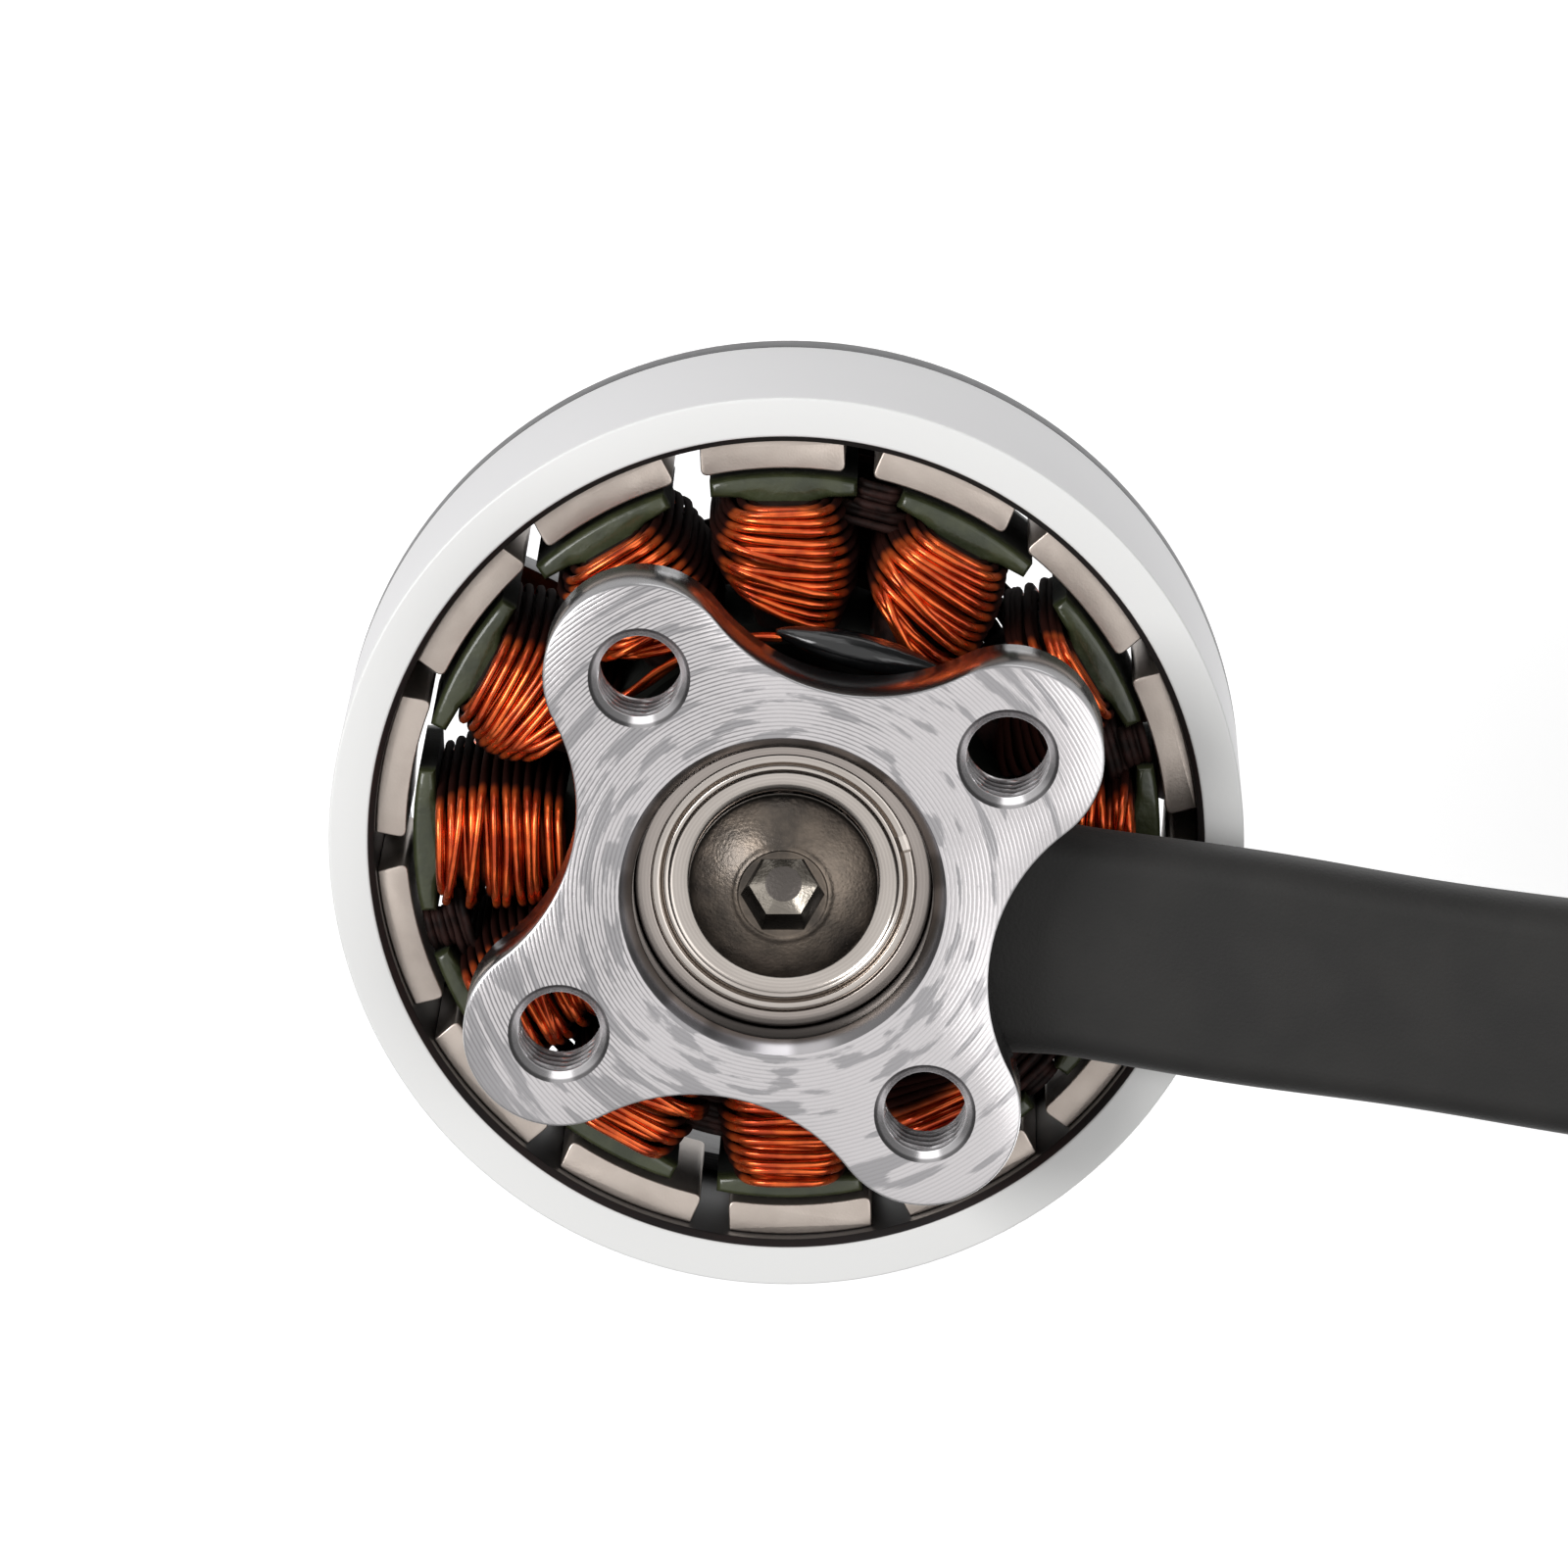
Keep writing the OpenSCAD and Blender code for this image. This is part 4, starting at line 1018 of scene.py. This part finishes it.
# Near black on the ring's inner wall between the magnets and on the lip's inner chamfer.
bare = between(radius_of(tree), (ring_r + 0.215) * mm, (ring_r + 0.185) * mm)
driven(surface, Base_Color=blended(bare, outside, (0.018, 0.017, 0.017)))
bumped(surface, speckle(tree, 5000, 2), 0.004)
ring_outline = rounded([(lip_in_r, lip_z), (bell_r, lip_z), (bell_r, ring_top), (ring_r, ring_top),
                        (ring_r, lip_z + lip_h)], (0.05, 0.09, 0.05, 0, 0.04))
turned_piece("flux_ring_coated", ring_outline, "rotor", material, ["flux_ring"], steps=220)


# Magnets: fourteen plated blocks, curved to the ring, with their corners and edges ground round.
magnet_turn = -1.7
magnet_count = 14
magnet_w = 4.4
magnet_out_r = 12.59
magnet_in_r = 11.64
magnet_low, magnet_high = (corner.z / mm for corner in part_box("magnet_01"))
magnet_steps = 6
magnet_corner_out, magnet_corner_in = 0.06, 0.28
magnet_edge = 0.085


def magnet_outline():
    points, corners = [], []
    for r, way, corner in ((magnet_out_r, 1, magnet_corner_out), (magnet_in_r, -1, magnet_corner_in)):
        half = math.asin(magnet_w / 2 / r)
        for s in range(-magnet_steps, magnet_steps + 1):
            points.append(polar(r, half * way * s / magnet_steps))
            corners.append(corner if abs(s) == magnet_steps else 0)
    return rounded(points, corners)


nickel = mottled("nickel_plating", (1100, 4), (0.3, 0.7), (0.43, 0.372, 0.33), (0.475, 0.415, 0.37), (14000, 2),
                 0.004, rough=(0.2, 0.28), Metallic=0.9)
for i in range(magnet_count):
    bm = bmesh.new()
    soften(bm, prism(bm, magnet_outline(), magnet_low, magnet_high), magnet_edge)
    turn_by(bm, bm.verts, magnet_turn + 360 / magnet_count * i)
    finish(bm, f"magnet_block_{i + 1:02d}", "rotor", nickel, [f"magnet_{i + 1:02d}"])


# Shaft: ground steel, 4 mm in the bearings. It is pressed into the bell down to a shoulder, and its free end
# carries the M5 thread for the propeller's nut.
shaft_r = 2.0
shaft_mid_r = 2.3
shaft_end_r = 2.5
shaft_low = 1.75
shaft_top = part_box("shaft")[1].z / mm
shaft_chamfer = 0.4
screw_hole_r = 1.55
screw_hole_top = 8.75
thread_from = 18.3
thread_pitch = 0.8
thread_depth = 0.42
thread_rows = 150

ground = turned_steel("ground_steel", (0.36, 0.36, 0.37), (0.62, 0.62, 0.63), 0.3,
                      ways=(0.06, 0.02, 1.0, 1.5), ringed=0.0, depth=0.002)

bm = bmesh.new()
thread_to = shaft_top - shaft_chamfer
heights = [thread_from + (thread_to - thread_from) * i / thread_rows for i in range(thread_rows + 1)]
outline = [(screw_hole_r, shaft_low), (shaft_r, shaft_low), (shaft_r, 15), (shaft_mid_r, 15),
           (shaft_mid_r, 17.4), (shaft_end_r, seat_z), *((shaft_end_r, z) for z in heights),
           (shaft_end_r - shaft_chamfer, shaft_top), (0, shaft_top), (0, screw_hole_top),
           (screw_hole_r, screw_hole_top)]
spun(bm, outline, 64, closed=True)
bmesh.ops.remove_doubles(bm, verts=bm.verts, dist=1e-7)
bmesh.ops.delete(bm, geom=[e for e in bm.edges if not e.link_faces], context="EDGES")
cut_thread(bm, 0, 0, shaft_end_r, thread_from, thread_to, thread_pitch, -thread_depth, 0.5)
finish(bm, "threaded_shaft", "rotor", ground, ["shaft"], smooth=50)


# Shaft screw: a dark button-head screw with a raised ring round its hexagon socket. It clamps the inner
# ring of the lower bearing against the shaft, over a thin washer.
screw_r = 1.5
screw_top = 7.95
head_r = 2.87
head_edge_z = 1.25
head_z = 1.45
head_top = 0.1
dome_r = (head_r**2 + (head_edge_z - head_top)**2) / (2 * (head_edge_z - head_top))
socket_af = 2.15
socket_turn = -12.8
socket_floor = 1.38
socket_floor_af = 1.78
drill_r = 0.53
drill_depth = 0.21
washer_r = (1.56, 2.6)
washer_t = 0.15

material, tree, surface = shader("dark_oxide", Metallic=0.9)
place = own_place(tree)
cloud = speckle(tree, 650, 5, 0.6)
oxide = blended(between(cloud, 0.35, 0.68), (0.07, 0.06, 0.052), (0.165, 0.134, 0.108))
height = sums("MULTIPLY", z_of(place), 1000.0)
radius = vectors("LENGTH", vectors("MULTIPLY", place, (1000, 1000, 0)))
# Painted light in the socket: painted shade on its walls and round the head's edge, and a painted highlight on the
# cone of its floor.
socket = between(radius, 1.32, 1.26)
drilled = socket_floor + drill_depth
wall = sums("MULTIPLY", socket, between(height, 0.3, 0.4))
point = sums("MULTIPLY", socket, between(height, socket_floor - 0.02, socket_floor + 0.01))
disc = sums("MULTIPLY", socket, between(height, drilled - 0.012, drilled - 0.004))
rim = sums("MULTIPLY", between(radius, 2.7, 2.8), between(height, 1.12, 1.24))
tone = blended(sums("MAXIMUM", wall, rim), oxide, (0.03, 0.027, 0.024))
tone = blended(point, tone, (0.225, 0.203, 0.175))
driven(surface, Base_Color=blended(disc, tone, (0.105, 0.093, 0.085)), Roughness=scaled(cloud, 0.25, 0.18))
bumped(surface, speckle(tree, 9000, 3), 0.014)


def dome_z(r):
    return head_top + dome_r - math.sqrt(dome_r**2 - r**2)


def hexagon(af, count):
    """Points along the six sides, count to a side."""
    corners = [Vector((math.cos(a), math.sin(a))) * af / math.sqrt(3) for a in (math.pi / 3 * k for k in range(6))]
    return [corners[k].lerp(corners[(k + 1) % 6], i / count) for k in range(6) for i in range(count)]


bm = bmesh.new()
rows = [(screw_r, screw_top), (screw_r, head_z), (head_r - 0.06, head_z), (head_r, head_z - 0.06),
        (head_r, head_edge_z + 0.05), (head_r - 0.02, head_edge_z)]
rows += [(r, dome_z(r)) for r in (2.8, 2.65, 2.45, 2.2, 1.95, 1.75, 1.62, 1.56)]
rows += [(r, dome_z(r) + raised) for r, raised in ((1.5, -0.02), (1.44, -0.045), (1.38, -0.04), (1.33, 0.02))]
spun(bm, rows, 72)
mouth_z = dome_z(1.2)
loops = [rim_at(bm, *rows[-1])] + [loop_of(bm, hexagon(af, 12), z) for af, z in (
    (socket_af + 0.05, mouth_z + 0.05), (socket_af, mouth_z + 0.1), (socket_floor_af, socket_floor))]
loops += [loop_of(bm, circle_points(r, 72), socket_floor + z) for r, z in (
    (drill_r + 0.03, drill_depth - 0.01), (drill_r, drill_depth))]
skin(bm, *loops)
capped(bm, rim_at(bm, *rows[0]), loops[-1])
turn_by(bm, bm.verts, socket_turn)
finish(bm, "button_screw", "rotor", material, ["shaft_screw"], smooth=35)
washer = rounded(oblong(*washer_r, head_z, head_z + washer_t), 0.03, 2)
turned_piece("thin_washer", washer, "rotor", shield_steel, ["shaft_washer"], steps=96)


# Stage: a pale floor that shows from above, and a pale backdrop behind the motor that shows from below,
# as the photograph is taken from under the mounting face. Both only catch shadow, and fade out at their edges.
card_half = 0.32
card_fade = (0.12, 0.3)


def stage_card(name, z, faces_down):
    bm = bmesh.new()
    bmesh.ops.create_grid(bm, x_segments=1, y_segments=1, size=card_half)
    if faces_down:
        bmesh.ops.reverse_faces(bm, faces=bm.faces)
    bmesh.ops.translate(bm, verts=bm.verts, vec=(0, 0, z * mm))
    card = placed(name, meshed(bm, name))
    material = bpy.data.materials.new(name)
    material.use_nodes = True
    tree = material.node_tree
    tree.nodes.remove(tree.nodes["Principled BSDF"])
    matte = put(tree, "ShaderNodeBsdfDiffuse", {"Color": (0.8, 0.8, 0.8, 1)})
    glow = put(tree, "ShaderNodeEmission", {"Color": (1, 1, 1, 1), "Strength": 0.5})
    seen = put(tree, "ShaderNodeAddShader", {0: matte.outputs[0], 1: glow.outputs[0]})
    clear = put(tree, "ShaderNodeBsdfTransparent")
    back = put(tree, "ShaderNodeNewGeometry").outputs["Backfacing"]
    hidden = sums("MAXIMUM", back, between(radius_of(tree), *card_fade))
    mixed = put(tree, "ShaderNodeMixShader", {0: hidden, 1: seen.outputs[0], 2: clear.outputs[0]})
    driven(tree.nodes["Material Output"], Surface=mixed.outputs[0])
    card.data.materials.append(material)
    card.visible_diffuse = card.visible_glossy = card.visible_transmission = card.visible_shadow = False


stage_card("floor", -0.02, False)
stage_card("backdrop", 60, True)


# Camera: fitted to the photograph's hole circle, lip and far rim, with the image taken as 1600 pixels wide.
image_px = 1600
scale_px = 33.96
axis_px = (798.5, 915.5)
camera_far = 350
photo_roll, photo_tilt, photo_swing = -12.77, 14.16, 0.99
turn = (Matrix.Rotation(math.radians(photo_swing), 3, "Y") @ Matrix.Rotation(math.radians(-photo_tilt), 3, "X")
        @ Matrix.Rotation(math.radians(photo_roll), 3, "Z") @ Matrix.Diagonal((1, -1, 1)))
right, up, away = turn.row
aside, above = (axis_px[0] - image_px / 2) / scale_px, (image_px / 2 - axis_px[1]) / scale_px
camera = placed("camera", bpy.data.cameras.new("camera"))
camera.matrix_world = Matrix((right, up, -away)).transposed().to_4x4()
camera.location = -(right * aside + up * above + away * camera_far) * mm
camera.data.sensor_width = 36
camera.data.lens = camera.data.sensor_width * scale_px * camera_far / image_px
camera.data.clip_start, camera.data.clip_end = 0.01, 10
bpy.context.scene.camera = camera
bpy.context.scene.view_settings.view_transform = "Standard"


# Light: a pale room with a soft window, and six broad lamps, three for the side that the photograph shows
# and three for the top. The room's strength differs for what the camera, a reflection and a matt surface see.
room = bpy.data.worlds.new("room")
bpy.context.scene.world = room
room.use_nodes = True
tree = room.node_tree
rays = put(tree, "ShaderNodeLightPath").outputs
around = put(tree, "ShaderNodeTexCoord").outputs["Generated"]
pale = between(sums("ABSOLUTE", z_of(around)), 0.3, 0.62)
window = between(vectors("DOT_PRODUCT", around, up * 0.9 - right * 0.44), 0.45, 0.95)
seen_room = sums("MAXIMUM", scaled(pale, 0.88, 0.12), sums("MULTIPLY", window, 0.6))
bounced = sums("MAXIMUM", rays["Is Glossy Ray"], rays["Is Transmission Ray"])
mirrored = sums("MULTIPLY", bounced, seen_room)
soft = sums("MULTIPLY", rays["Is Diffuse Ray"], 0.38)
strength = sums("MAXIMUM", rays["Is Camera Ray"], sums("MAXIMUM", mirrored, soft))
driven(tree.nodes["Background"], Strength=strength)
tree.nodes["Background"].inputs["Color"].default_value = (1, 1, 1, 1)


def lamp(name, at, size, level):
    """A square lamp that faces the motor and adds level to a white surface that faces it. Metres."""
    at = Vector(at)
    data = bpy.data.lights.new(name, "AREA")
    data.size = size
    data.energy = level * math.pi**2 * at.length_squared
    light = placed(name, data)
    light.location = at
    light.rotation_mode = "QUATERNION"
    light.rotation_quaternion = at.to_track_quat("Z", "Y")


lamp("photo_front", up * 0.02 - right * 0.21 - away * 0.27, 0.16, 0.66)
lamp("photo_side", up * 0.44 - right * 0.06 - away * 0.24, 0.3, 0.13)
lamp("photo_fill", right * 0.26 - up * 0.1 - away * 0.34, 0.34, 0.24)
lamp("top_left", (-0.34, 0.12, 0.36), 0.3, 0.09)
lamp("top_right", (0.32, 0.24, 0.36), 0.3, 0.32)
lamp("top_front", (0.04, -0.44, 0.3), 0.3, 0.14)
